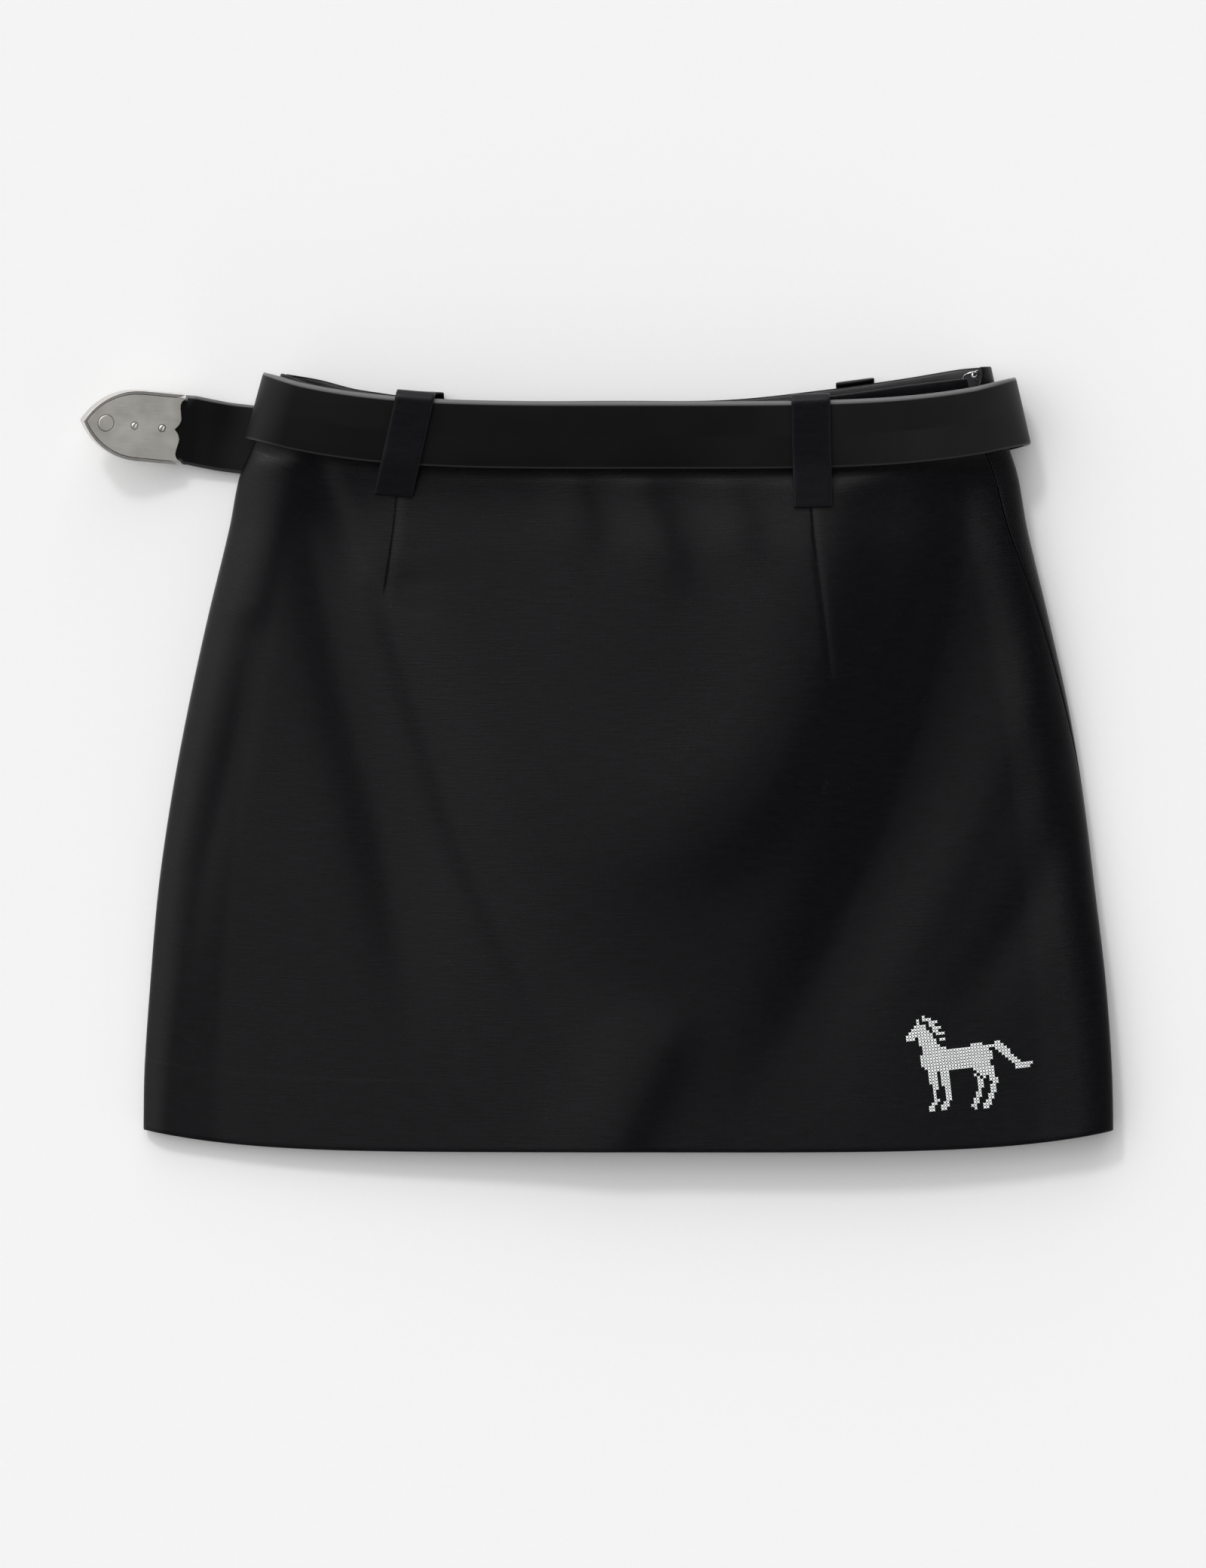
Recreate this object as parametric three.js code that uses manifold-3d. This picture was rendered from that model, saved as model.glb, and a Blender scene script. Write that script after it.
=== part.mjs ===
// A black A-line mini skirt with an embroidered motif, laid on its back on a flat surface, with its own
// leather belt run through four belt loops and the belt's metal end lying free at the left.
//
// Millimetres. +Y points from the hem to the waist, +X to the viewer's right, +Z up off the surface. The
// origin is on that surface, under the middle of the skirt. The skirt is one flattened tube: "back" is the half
// that lies on the surface and "front" is the half that faces up. Both panels are walls cut from that one tube.

import * as THREE from "three";
import { mergeVertices } from "three/addons/utils/BufferGeometryUtils.js";
import Module from "manifold-3d";

// Driving dimensions
const CLOTH = 1.6; // suiting wall, with its turned edges
const FACING = 1.0; // inner facing of the back waist
const FACING_BELOW_EDGE = 0.8;
const FACING_SLACK = 0.25; // more air behind the facing than in a seam
const SEAM_GAP = 0.3; // air between two sewn pieces
const SEAM_SLACK = 0.1; // more air on each side, for the straight facets of both edges
const BACK_HEM_SHORT = 3; // the back hem ends this far inside the front hem
const HEM_MIDDLE = -189.6;
const HEM_RISE = 11; // rise of the hem line at the side seams
const HEM_HALF = 245;
const HEM_POWER = 5;

const BELT_WIDTH = 35;
const BELT_THICK = 3.8;
const BELT_TILT = THREE.MathUtils.degToRad(20); // in front, the strap's upper rim stands higher than its lower
const BELT_CHAMFER = 0.6;
const LOOP_WIDTH = 19.5;
const LOOP_THICK = 1.5;
const LOOP_CHAMFER = 0.35;
const LOOP_OVER_CLOTH = 0.4; // air between a loop and the cloth or strap under it

const RADIAN = Math.PI / 180;

// The tube's side edges by height on the page: the x and the height at which each edge lies, and the angle
// round it, in degrees towards the front, at which its seam runs.
const EDGES = [
  { y: 208, left: -173.5, right: 182, leftZ: 24, rightZ: 23, seamL: -24, seamR: 53 },
  { y: 185, left: -183.1, right: 187, leftZ: 22, rightZ: 22, seamL: -24, seamR: 53 },
  { y: 167, left: -189.6, right: 191.3, leftZ: 18, rightZ: 18, seamL: -24, seamR: 53 },
  { y: 152, left: -196.5, right: 196, leftZ: 15, rightZ: 15, seamL: -24, seamR: 54 },
  { y: 125, left: -202, right: 201, leftZ: 12, rightZ: 11.5, seamL: -24, seamR: 52 },
  { y: 80, left: -213, right: 211.7, leftZ: 9, rightZ: 11, seamL: -24, seamR: 36 },
  { y: 34, left: -223, right: 222, leftZ: 7.5, rightZ: 8.5, seamL: -24, seamR: 23 },
  { y: -11, left: -231.4, right: 229.5, leftZ: 6.5, rightZ: 7, seamL: -24, seamR: 4 },
  { y: -57, left: -238, right: 235.2, leftZ: 6, rightZ: 9, seamL: -24, seamR: -10 },
  { y: -103, left: -242, right: 240.5, leftZ: 5.5, rightZ: 12, seamL: -24, seamR: -18 },
  { y: -148, left: -245, right: 243.6, leftZ: 5, rightZ: 13.5, seamL: -24, seamR: -22 },
  { y: -190, left: -245.6, right: 244.4, leftZ: 4.8, rightZ: 14.5, seamL: -24, seamR: -24 },
];

// How far in from each edge the front and the back take to round over.
const ROUNDING = [
  { y: 208, frontL: 34, frontR: 34, backL: 26, backR: 26 },
  { y: 167, frontL: 34, frontR: 34, backL: 24, backR: 24 },
  { y: 152, frontL: 30, frontR: 30, backL: 20, backR: 20 },
  { y: 125, frontL: 28, frontR: 26, backL: 16, backR: 16 },
  { y: 80, frontL: 26, frontR: 24, backL: 12, backR: 14 },
  { y: -11, frontL: 22, frontR: 24, backL: 9, backR: 11 },
  { y: -103, frontL: 16, frontR: 20, backL: 7, backR: 13 },
  { y: -190, frontL: 11, frontR: 18, backL: 7, backR: 14 },
];

// Height of the front over the surface, at five places across from the left edge to the right edge.
const CROWN_AT = { outerL: -0.85, innerL: -0.45, middle: 0, innerR: 0.45, outerR: 0.85 };
const CROWN = [
  { y: 208, outerL: 40, innerL: 46.5, middle: 48, innerR: 46.5, outerR: 40 },
  { y: 188, outerL: 37.5, innerL: 43, middle: 44, innerR: 43, outerR: 37.5 },
  { y: 165, outerL: 30, innerL: 32.8, middle: 33.6, innerR: 33, outerR: 30.2 },
  { y: 150, outerL: 27, innerL: 29.8, middle: 30.6, innerR: 30.4, outerR: 27.8 },
  { y: 110, outerL: 24.6, innerL: 29, middle: 31.8, innerR: 31.6, outerR: 27 },
  { y: 60, outerL: 21.5, innerL: 27.4, middle: 32, innerR: 30.2, outerR: 22.6 },
  { y: 0, outerL: 17.5, innerL: 24.5, middle: 31, innerR: 28.2, outerR: 19.4 },
  { y: -60, outerL: 14.5, innerL: 21.2, middle: 27.8, innerR: 25.8, outerR: 19.0 },
  { y: -120, outerL: 12, innerL: 18.2, middle: 24.6, innerR: 24, outerR: 19.2 },
  { y: -190, outerL: 10, innerL: 15.2, middle: 21.6, innerR: 22.8, outerR: 19.4 },
];

// The front's largest soft folds, each along a bent line of places on the page, from the waist down. A trough
// has a negative lift. A fold's width is given on its left and on its right on the page, and it runs out
// towards the end of its line.
const FOLDS = [
  {
    name: "belly ridge",
    lift: 3.0,
    left: 40,
    right: 24,
    line: [[105, 160], [98, 103], [91, 61], [76, 23], [50, -13], [13, -32], [-41, -29]],
  },
  {
    name: "right trough",
    lift: -3.6,
    left: 20,
    right: 30,
    line: [[176, 160], [169, 100], [154, 42], [135, -15], [111, -70], [79, -141]],
  },
  {
    name: "right ridge",
    lift: 0.7,
    left: 20,
    right: 12,
    line: [[215, 76], [196, 27], [173, -27], [146, -80], [108, -152]],
  },
  {
    name: "right low trough",
    lift: -0.9,
    left: 12,
    right: 16,
    line: [[230, 8], [215, -38], [188, -87], [146, -144]],
  },
  { name: "left crease", lift: -2.2, left: 13, right: 5, line: [[-160, 167], [-141, 122], [-122, 84]] },
  {
    name: "left trough",
    lift: -3.6,
    left: 18,
    right: 20,
    line: [[-160, 133], [-142, 42], [-126, -20], [-118, -60], [-104, -141]],
  },
  {
    name: "second left crease",
    lift: -1.3,
    left: 8,
    right: 21,
    line: [[-125, 95], [-102, 21], [-82, -40], [-52, -101], [-21, -148]],
  },
  {
    name: "far left trough",
    lift: -1.1,
    left: 14,
    right: 9,
    line: [[-192, 76], [-203, 11], [-217, -46], [-228, -114]],
  },
  { name: "hem ridge", lift: 1.7, left: 30, right: 8, line: [[19, -129], [2, -165], [-28, -224]] },
];
const FOLD_RUN_OUT = 0.55; // share of its line after which a fold runs out

// The front's two darts fan out with the cloth from the waist. Each is a seam pressed into the cloth, and is
// given by a place that it passes and by the height on the page at which it ends.
const DARTS = [
  { x: -117, y: 140, end: 88 },
  { x: 91.6, y: 135, end: 45 },
];
const DART_DEPTH = 0.7;
const DART_HALF = 1.2;
const DART_COLUMN = 1.9; // the columns on both sides of a dart lie this far from it
const DART_RUN_OUT = 30; // length over which a dart fades to nothing

// The waist edges of the front and the back.
const WAIST = [
  { x: -180, front: 203.6, back: 203.6 },
  { x: -160, front: 197, back: 200.5 },
  { x: -135, front: 191.6, back: 195 },
  { x: -90, front: 188, back: 190.3 },
  { x: 0, front: 187.2, back: 189.8 },
  { x: 50, front: 187.4, back: 190.3 },
  { x: 100, front: 191, back: 195.5 },
  { x: 140, front: 196.5, back: 201 },
  { x: 170, front: 200, back: 205.6 },
  { x: 186, front: 201, back: 206.8 },
];

// The right seam stands open at the waist, above its zip, where the hook and eye join it.
const OPEN_SEAM = { fromY: 186, toY: 206, degrees: 20 };

// How far the back is lifted off the surface by the strap and loops under it, and by the strap's doubled end.
const BACK_LIFT = { height: 6.4, fromY: 92, toY: 142 };
const DOUBLE_LIFT = { height: 4.8, fromX: -110, toX: -133 };

const smooth = (from, to, value) => THREE.MathUtils.smoothstep((value - from) / (to - from), 0, 1);

// Reads a column of a table at a value between its rows, on a smooth curve through the rows.
function read(table, key, value, column) {
  const rising = table[1][key] > table[0][key];
  const beyond = (row) => (rising ? row[key] > value : row[key] < value);
  let next = table.findIndex(beyond);
  if (next < 0) next = table.length - 1;
  const i = Math.max(0, next - 1);
  const slope = (k) => {
    const a = table[Math.max(0, k - 1)];
    const b = table[Math.min(table.length - 1, k + 1)];
    return (b[column] - a[column]) / (b[key] - a[key]);
  };
  const [a, b] = [table[i], table[i + 1]];
  const span = b[key] - a[key];
  const t = THREE.MathUtils.clamp((value - a[key]) / span, 0, 1);
  const [t2, t3] = [t * t, t * t * t];
  return (
    (2 * t3 - 3 * t2 + 1) * a[column] +
    (t3 - 2 * t2 + t) * slope(i) * span +
    (3 * t2 - 2 * t3) * b[column] +
    (t3 - t2) * slope(i + 1) * span
  );
}

const edge = (y, column) => read(EDGES, "y", y, column);
const rounding = (y, column) => read(ROUNDING, "y", y, column);
const hemY = (x) => HEM_MIDDLE + HEM_RISE * Math.min(1, Math.abs(x / HEM_HALF)) ** HEM_POWER;

// Where a place lies across the tube, from -1 at the left edge to 1 at the right edge, and back.
const shareAcross = (x, y) => (2 * (x - edge(y, "left"))) / (edge(y, "right") - edge(y, "left")) - 1;
const xAcross = (share, y) => THREE.MathUtils.lerp(edge(y, "left"), edge(y, "right"), (share + 1) / 2);

// Fall of the cloth into the darts at a place on the page.
function dartFall(x, y) {
  return DARTS.reduce((sum, dart) => {
    const away = x - xAcross(shareAcross(dart.x, dart.y), y);
    const deep = DART_DEPTH * smooth(dart.end, dart.end + DART_RUN_OUT, y);
    return sum + deep * Math.exp(-((away / DART_HALF) ** 2));
  }, 0);
}

// A fold is a row of soft mounds along its line that run into each other: each with its place, the way along
// the line there, and its share of the fold.
const MOUND_SPACING = 0.6; // as a part of a mound's own reach along the line
const FOLD_END = 1.05;

const FOLD_MARKS = FOLDS.map(({ lift, left, right, line }) => {
  const curve = new THREE.SplineCurve(line.map(([x, y]) => new THREE.Vector2(x, y)));
  const reach = (left + right) / 3;
  const length = curve.getLength();
  const steps = Math.max(1, Math.ceil(length / (reach * MOUND_SPACING)));
  const whole = length / steps / (reach * Math.sqrt(Math.PI));
  const marks = Array.from({ length: steps + 1 }, (_, k) => {
    const share = whole * (1 - smooth(FOLD_RUN_OUT, FOLD_END, k / steps));
    return { at: curve.getPointAt(k / steps), way: curve.getTangentAt(k / steps), share };
  });
  return { lift, left, right, reach, marks };
});

// Rise or fall of the folds at a place on the page.
function foldLift(x, y) {
  const here = new THREE.Vector2(x, y);
  return FOLD_MARKS.reduce((total, { lift, left, right, reach, marks }) => {
    const height = marks.reduce((sum, { at, way, share }) => {
      const off = here.clone().sub(at);
      const beside = off.cross(way);
      const width = beside > 0 ? left : right;
      return sum + share * Math.exp(-((beside / width) ** 2) - (off.dot(way) / reach) ** 2);
    }, 0);
    return total + lift * height;
  }, 0);
}

// The strap's middle line runs along the front on a curve that dips at the middle of the waist.
const FRONT_RUN_Y = 171.5;
const FRONT_RUN_RISE = 12.9;
const FRONT_RUN_MIDDLE = 9.5;
const FRONT_RUN_SPAN = 190;
const FRONT_RUN_Z = 40.4;
const FRONT_RUN_FALL = 4.6;

const fromMiddle = (x) => Math.abs((x - FRONT_RUN_MIDDLE) / FRONT_RUN_SPAN);
const frontRunY = (x) => FRONT_RUN_Y + FRONT_RUN_RISE * fromMiddle(x) ** 4;
const frontRunSlope = (x) => (frontRunY(x + 1) - frontRunY(x - 1)) / 2;
const frontRunZ = (x) => FRONT_RUN_Z - FRONT_RUN_FALL * fromMiddle(x) ** 3;

// Height of the strap's face on the front: side is 1 for its upper face and -1 for the face on the cloth.
function strapFaceZ(x, y, side) {
  const middle = frontRunZ(x) + (y - frontRunY(x)) * Math.tan(BELT_TILT);
  return middle + (side * BELT_THICK) / 2 / Math.cos(BELT_TILT);
}

// Height of the front's outer face over the surface, before the sides round it down. Under the strap the
// cloth is pressed down to it, and rises again at this slope beyond the strap's rims.
const STRAP_CLEARANCE = 0.95;
const STRAP_MARGIN = 3;
const RISE_FROM_STRAP = 0.8;

function crownZ(x, y) {
  const row = Object.entries(CROWN_AT).map(([name, at]) => ({ at, z: read(CROWN, "y", y, name) }));
  const free = read(row, "at", shareAcross(x, y), "z") + foldLift(x, y);
  const rim = (BELT_WIDTH / 2) * Math.cos(BELT_TILT) + STRAP_MARGIN;
  const away = Math.max(0, Math.abs(y - frontRunY(x)) - rim);
  const pressed = strapFaceZ(x, y, -1) - STRAP_CLEARANCE + away * RISE_FROM_STRAP;
  return Math.min(free, pressed);
}

const frontZ = (x, y) => crownZ(x, y) - dartFall(x, y);

// Height of the back's outer face over the surface.
function backZ(x, y) {
  const lift = BACK_LIFT.height + DOUBLE_LIFT.height * smooth(DOUBLE_LIFT.fromX, DOUBLE_LIFT.toX, x);
  return lift * smooth(BACK_LIFT.fromY, BACK_LIFT.toY, y);
}

// A point round one edge of the tube, at an angle from that edge: 90 is on top of the front and -90 is under
// the back.
function edgePoint(y, side, degrees) {
  const angle = degrees * RADIAN;
  const towards = side === "L" ? 1 : -1;
  const edgeZ = edge(y, side === "L" ? "leftZ" : "rightZ");
  const round = rounding(y, (degrees >= 0 ? "front" : "back") + side);
  const x = edge(y, side === "L" ? "left" : "right") + towards * round * (1 - Math.cos(angle));
  const face = degrees >= 0 ? frontZ(x, y) : backZ(x, y);
  return new THREE.Vector3(x, y, edgeZ + (face - edgeZ) * Math.abs(Math.sin(angle)));
}

// The angle at which a panel's side edge runs, half a seam's gap away from the seam itself.
function seamAngle(y, side, panel) {
  const seam = edge(y, "seam" + side);
  const innerFace = (degrees) => {
    const ahead = edgePoint(y, side, degrees + 1).sub(edgePoint(y, side, degrees - 1)).setY(0).normalize();
    const inwards = new THREE.Vector3(ahead.z, 0, -ahead.x).multiplyScalar(side === "L" ? 1 : -1);
    return edgePoint(y, side, degrees).addScaledVector(inwards, CLOTH);
  };
  const perDegree = innerFace(seam + 1).distanceTo(innerFace(seam - 1)) / 2;
  const gap = (SEAM_GAP / 2 + SEAM_SLACK) / perDegree;
  const opens = side === "R" && panel === "back";
  const open = opens ? OPEN_SEAM.degrees * smooth(OPEN_SEAM.fromY, OPEN_SEAM.toY, y) : 0;
  return panel === "front" ? seam + gap : seam - gap - open;
}

// A point of a panel, where across runs from 0 at its left seam to 1 at its right seam.
function panelPoint(panel, y, across, capShare) {
  const crest = panel === "front" ? 90 : -90;
  if (across < capShare || across > 1 - capShare) {
    const side = across < 0.5 ? "L" : "R";
    const t = Math.min(across, 1 - across) / capShare;
    const from = seamAngle(y, side, panel);
    return edgePoint(y, side, from + (crest - from) * t);
  }
  const t = (across - capShare) / (1 - 2 * capShare);
  const left = edge(y, "left") + rounding(y, panel + "L");
  const right = edge(y, "right") - rounding(y, panel + "R");
  const x = THREE.MathUtils.lerp(left, right, t);
  return new THREE.Vector3(x, y, panel === "front" ? frontZ(x, y) : backZ(x, y));
}

// The waist edge and the hem edge of a column of a panel.
const TOP_Y = 195;
const FOOT_Y = -188;

function ends(panel, across, capShare) {
  const topX = panelPoint(panel, TOP_Y, across, capShare).x;
  const hemX = panelPoint(panel, FOOT_Y, across, capShare).x;
  const short = panel === "back" ? BACK_HEM_SHORT : 0;
  return { top: read(WAIST, "x", topX, panel), hem: hemY(hemX) + short };
}

// A closed body from a list of vertices and of faces, each three or four corners going round it outwards.
function closedBody(vertices, faces) {
  const geometry = new THREE.BufferGeometry();
  const corners = faces.flatMap(([a, b, c, d]) => (d === undefined ? [a, b, c] : [a, b, c, a, c, d]));
  const places = vertices.flatMap((v) => [v.x, v.y, v.z]);
  geometry.setAttribute("position", new THREE.Float32BufferAttribute(places, 3));
  geometry.setIndex(corners);
  return geometry;
}

// A wall of even thickness behind a grid of outer points, each with the direction out of the cloth there.
// The rows run along one edge of the grid, and turn is 1 if the direction down the rows crossed with the
// direction along them points out of the cloth, and -1 if it points in.
function wall(grid, thickness, turn) {
  const [rows, columns] = [grid.length, grid[0].length];
  const outer = grid.flat().map(({ at }) => at);
  const inner = grid.flat().map(({ at, out }) => at.clone().addScaledVector(out, -thickness));
  const index = (j, i, layer) => layer * rows * columns + j * columns + i;
  const faces = [];
  const add = (a, b, c, d) => faces.push(turn > 0 ? [a, b, c, d] : [d, c, b, a]);
  for (let j = 0; j + 1 < rows; j++) {
    for (let i = 0; i + 1 < columns; i++) {
      add(index(j, i, 0), index(j + 1, i, 0), index(j + 1, i + 1, 0), index(j, i + 1, 0));
      add(index(j, i, 1), index(j, i + 1, 1), index(j + 1, i + 1, 1), index(j + 1, i, 1));
    }
    const last = columns - 1;
    add(index(j, 0, 1), index(j + 1, 0, 1), index(j + 1, 0, 0), index(j, 0, 0));
    add(index(j, last, 0), index(j + 1, last, 0), index(j + 1, last, 1), index(j, last, 1));
  }
  for (let i = 0; i + 1 < columns; i++) {
    const last = rows - 1;
    add(index(0, i, 1), index(0, i, 0), index(0, i + 1, 0), index(0, i + 1, 1));
    add(index(last, i, 0), index(last, i, 1), index(last, i + 1, 1), index(last, i + 1, 0));
  }
  return closedBody([...outer, ...inner], faces);
}

// A panel's columns: closely spaced round each side edge and evenly between, with three more for each dart.
function panelColumns(panel, capSteps, middleSteps) {
  const count = 2 * capSteps + middleSteps;
  const capShare = capSteps / count;
  const across = Array.from({ length: count + 1 }, (_, k) => k / count);
  if (panel === "back") return { capShare, across };
  const darts = DARTS.flatMap(({ x, y }) => {
    const left = edge(y, "left") + rounding(y, "frontL");
    const right = edge(y, "right") - rounding(y, "frontR");
    const at = (place) => capShare + ((1 - 2 * capShare) * (place - left)) / (right - left);
    return [at(x - DART_COLUMN), at(x), at(x + DART_COLUMN)];
  });
  const apart = (1 - 2 * capShare) / middleSteps / 3;
  const kept = across.filter((a) => darts.every((dart) => Math.abs(dart - a) > apart));
  return { capShare, across: [...kept, ...darts].sort((a, b) => a - b) };
}

// A place on a panel, with the direction out of the cloth there.
function onPanel(panel, y, across, capShare) {
  const [stepY, step] = [1, 0.003];
  const place = (down, along) => panelPoint(panel, y - down * stepY, across + along * step, capShare);
  const down = place(1, 0).sub(place(-1, 0));
  const along = place(0, 1).sub(place(0, -1));
  const out = down.cross(along).normalize().multiplyScalar(panel === "front" ? 1 : -1);
  return { at: place(0, 0), out };
}

// Rows down a panel: close together over the depth of the waist, then evenly spaced to the hem. Both panels
// share these rows, so that their seam edges keep side by side.
const WAIST_FOOT_Y = 137;
const WAIST_STEPS = 7;
const LOWER_STEPS = 17;

function rowY(top, hem, j) {
  if (j <= WAIST_STEPS) return THREE.MathUtils.lerp(top, WAIST_FOOT_Y, j / WAIST_STEPS);
  return THREE.MathUtils.lerp(WAIST_FOOT_Y, hem, (j - WAIST_STEPS) / LOWER_STEPS);
}

function panelGrid(panel, capSteps, middleSteps) {
  const { capShare, across } = panelColumns(panel, capSteps, middleSteps);
  return Array.from({ length: WAIST_STEPS + LOWER_STEPS + 1 }, (_, j) =>
    across.map((a) => {
      const { top, hem } = ends(panel, a, capShare);
      return onPanel(panel, rowY(top, hem, j), a, capShare);
    }),
  );
}

// The facing lies inside the top of the back panel, on the panel's own rows and columns, a seam's gap in from
// the cloth and just below its edge.
const FACING_SIDE_COLUMNS = 2; // columns of the back on each side that the facing leaves free

function facingGrid(capSteps, middleSteps) {
  const { capShare, across } = panelColumns("back", capSteps, middleSteps);
  const inset = CLOTH + SEAM_GAP + FACING_SLACK;
  return Array.from({ length: WAIST_STEPS }, (_, j) =>
    across.slice(FACING_SIDE_COLUMNS, -FACING_SIDE_COLUMNS).map((a) => {
      const { top, hem } = ends("back", a, capShare);
      const y = rowY(top, hem, j) - (j === 0 ? FACING_BELOW_EDGE : 0);
      const { at, out } = onPanel("back", y, a, capShare);
      return { at: at.addScaledVector(out, -inset), out };
    }),
  );
}

// A closed body from rings of vertices that run anticlockwise about the way from the first ring to the last.
function closedTube(vertices, n) {
  const faces = [];
  const last = vertices.length - n;
  for (let start = 0; start < last; start += n) {
    for (let i = 0; i < n; i++) {
      const next = (i + 1) % n;
      faces.push([start + i, start + next, start + n + next, start + n + i]);
    }
  }
  for (let i = 1; i + 1 < n; i++) {
    faces.push([0, i + 1, i]);
    faces.push([last, last + i, last + i + 1]);
  }
  return closedBody(vertices, faces);
}

// A strip swept through stations, each with its middle, the direction across it, its width and its thickness.
function strip(stations, chamfer) {
  const rings = stations.map(({ at, across, width, thick }, k) => {
    const before = stations[Math.max(0, k - 1)].at;
    const after = stations[Math.min(stations.length - 1, k + 1)].at;
    const along = after.clone().sub(before).normalize();
    const out = along.clone().cross(across).normalize();
    const over = across.clone().normalize();
    const [w, t] = [width / 2, thick / 2];
    const profile = [
      [w - chamfer, t],
      [-w + chamfer, t],
      [-w, t - chamfer],
      [-w, -t + chamfer],
      [-w + chamfer, -t],
      [w - chamfer, -t],
      [w, -t + chamfer],
      [w, t - chamfer],
    ];
    return profile.map(([a, b]) => at.clone().addScaledVector(over, a).addScaledVector(out, b));
  });
  return closedTube(rings.flat(), rings[0].length);
}

// Belt route
const BELT_LEFT = -187.9; // x of the strap's middle plane at the left bend and at the right bend
const BELT_RIGHT = 197.4;
const BEND_LEFT = 18; // how far in from the bend the strap takes to turn over
const BEND_RIGHT = 20;
const STRAP_AIR = 0.35; // between the strap and what it lies on
const BELT_BACK_Z = LOOP_THICK + STRAP_AIR + BELT_THICK / 2; // middle of the strap under the back
const BELT_DOUBLE_Z = BELT_BACK_Z + BELT_THICK + STRAP_AIR;
const BELT_END_X = -139; // where the strap's hidden end stops, under the back

// Where the strap lies under the back, and where its free end curls up off the surface.
const BACK_RUN = [
  { x: 150, y: 175, z: BELT_BACK_Z },
  { x: 100, y: 172, z: BELT_BACK_Z },
  { x: 0, y: 168.5, z: BELT_BACK_Z },
  { x: -100, y: 166.5, z: BELT_BACK_Z },
  { x: -150, y: 166.8, z: BELT_BACK_Z },
  { x: -196, y: 170.6, z: BELT_BACK_Z + 0.6 },
  { x: -213, y: 173.2, z: BELT_BACK_Z + 2.6 },
];
const TIP_START = new THREE.Vector3(-226, 175.2, BELT_BACK_Z + 5.6);
const TIP_HEADING = 4.7 * RADIAN; // on the page, up from -X
const TIP_CLIMB = 19 * RADIAN;
const TIP_ROLL = 6 * RADIAN; // the upper side of the page is higher
const TIP_LENGTH = 51; // from the metal's scalloped edge to its point
const TIP_LEATHER = 31.8; // width of the strap inside the metal

function beltStations() {
  const full = { width: BELT_WIDTH, thick: BELT_THICK };
  const stations = [];
  const acrossOf = (slope, tilt) => {
    const flat = new THREE.Vector3(-slope, 1, 0).normalize();
    return flat.multiplyScalar(Math.cos(tilt)).add(new THREE.Vector3(0, 0, Math.sin(tilt)));
  };
  const leftSlope = frontRunSlope(BELT_LEFT + BEND_LEFT / 3);
  const rightSlope = frontRunSlope(BELT_RIGHT - BEND_RIGHT / 3);
  // A bend turns the strap over along its own line on the page, from its upper height to its lower height.
  const bend = (x, y, slope, side, reach, high, low, from, to, steps) => {
    const flat = new THREE.Vector3(side, side * slope, 0).normalize();
    for (let k = 0; k <= steps; k++) {
      const angle = THREE.MathUtils.lerp(from, to, k / steps) * RADIAN;
      const at = new THREE.Vector3(x, y, (high + low) / 2 + ((high - low) / 2) * Math.sin(angle));
      at.addScaledVector(flat, reach * Math.cos(angle));
      const tilt = BELT_TILT * smooth(-60, 90, angle / RADIAN);
      stations.push({ at, across: acrossOf(slope, tilt), ...full });
    }
  };
  const leftX = BELT_LEFT + BEND_LEFT;
  const rightX = BELT_RIGHT - BEND_RIGHT;
  const endY = frontRunY(leftX) + leftSlope * (BELT_END_X - leftX);
  const hiddenSteps = 3;
  for (let k = 0; k < hiddenSteps; k++) {
    const t = k / hiddenSteps;
    const x = THREE.MathUtils.lerp(BELT_END_X, leftX, t);
    const y = THREE.MathUtils.lerp(endY, frontRunY(leftX), t);
    stations.push({ at: new THREE.Vector3(x, y, BELT_DOUBLE_Z), across: acrossOf(leftSlope, 0), ...full });
  }
  const bendSteps = 12;
  bend(leftX, frontRunY(leftX), leftSlope, -1, BEND_LEFT, frontRunZ(leftX), BELT_DOUBLE_Z, -90, 90, bendSteps);
  const frontSteps = 28;
  for (let k = 1; k < frontSteps; k++) {
    const x = THREE.MathUtils.lerp(leftX, rightX, k / frontSteps);
    const at = new THREE.Vector3(x, frontRunY(x), frontRunZ(x));
    stations.push({ at, across: acrossOf(frontRunSlope(x), BELT_TILT), ...full });
  }
  const rightY = frontRunY(rightX);
  bend(rightX, rightY, rightSlope, 1, BEND_RIGHT, frontRunZ(rightX), BELT_BACK_Z, 90, -90, bendSteps);
  const tipWay = tipFrame();
  const backLine = new THREE.CatmullRomCurve3([
    new THREE.Vector3(rightX, frontRunY(rightX), BELT_BACK_Z),
    ...BACK_RUN.map(({ x, y, z }) => new THREE.Vector3(x, y, z)),
    TIP_START.clone().addScaledVector(tipWay.along, -6),
    TIP_START.clone().addScaledVector(tipWay.along, -1.6),
  ]);
  const backSteps = 34;
  for (let k = 1; k <= backSteps; k++) {
    const t = k / backSteps;
    const at = backLine.getPoint(t);
    const along = backLine.getTangent(t);
    const slope = along.y / along.x;
    const roll = TIP_ROLL * smooth(-190, -226, at.x);
    const across = acrossOf(slope, roll);
    stations.push({ at, across, ...full });
  }
  const narrow = [
    { on: -0.9, width: TIP_LEATHER },
    { on: 12, width: TIP_LEATHER },
    { on: 23.5, width: TIP_LEATHER - 0.5 },
    { on: 32, width: TIP_LEATHER * 0.8 },
    { on: 40, width: TIP_LEATHER * 0.5 },
    { on: 46, width: TIP_LEATHER * 0.2 },
  ];
  for (const { on, width } of narrow) {
    const at = TIP_START.clone().addScaledVector(tipWay.along, on);
    stations.push({ at, across: tipWay.across, width, thick: BELT_THICK });
  }
  return stations;
}

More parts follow.
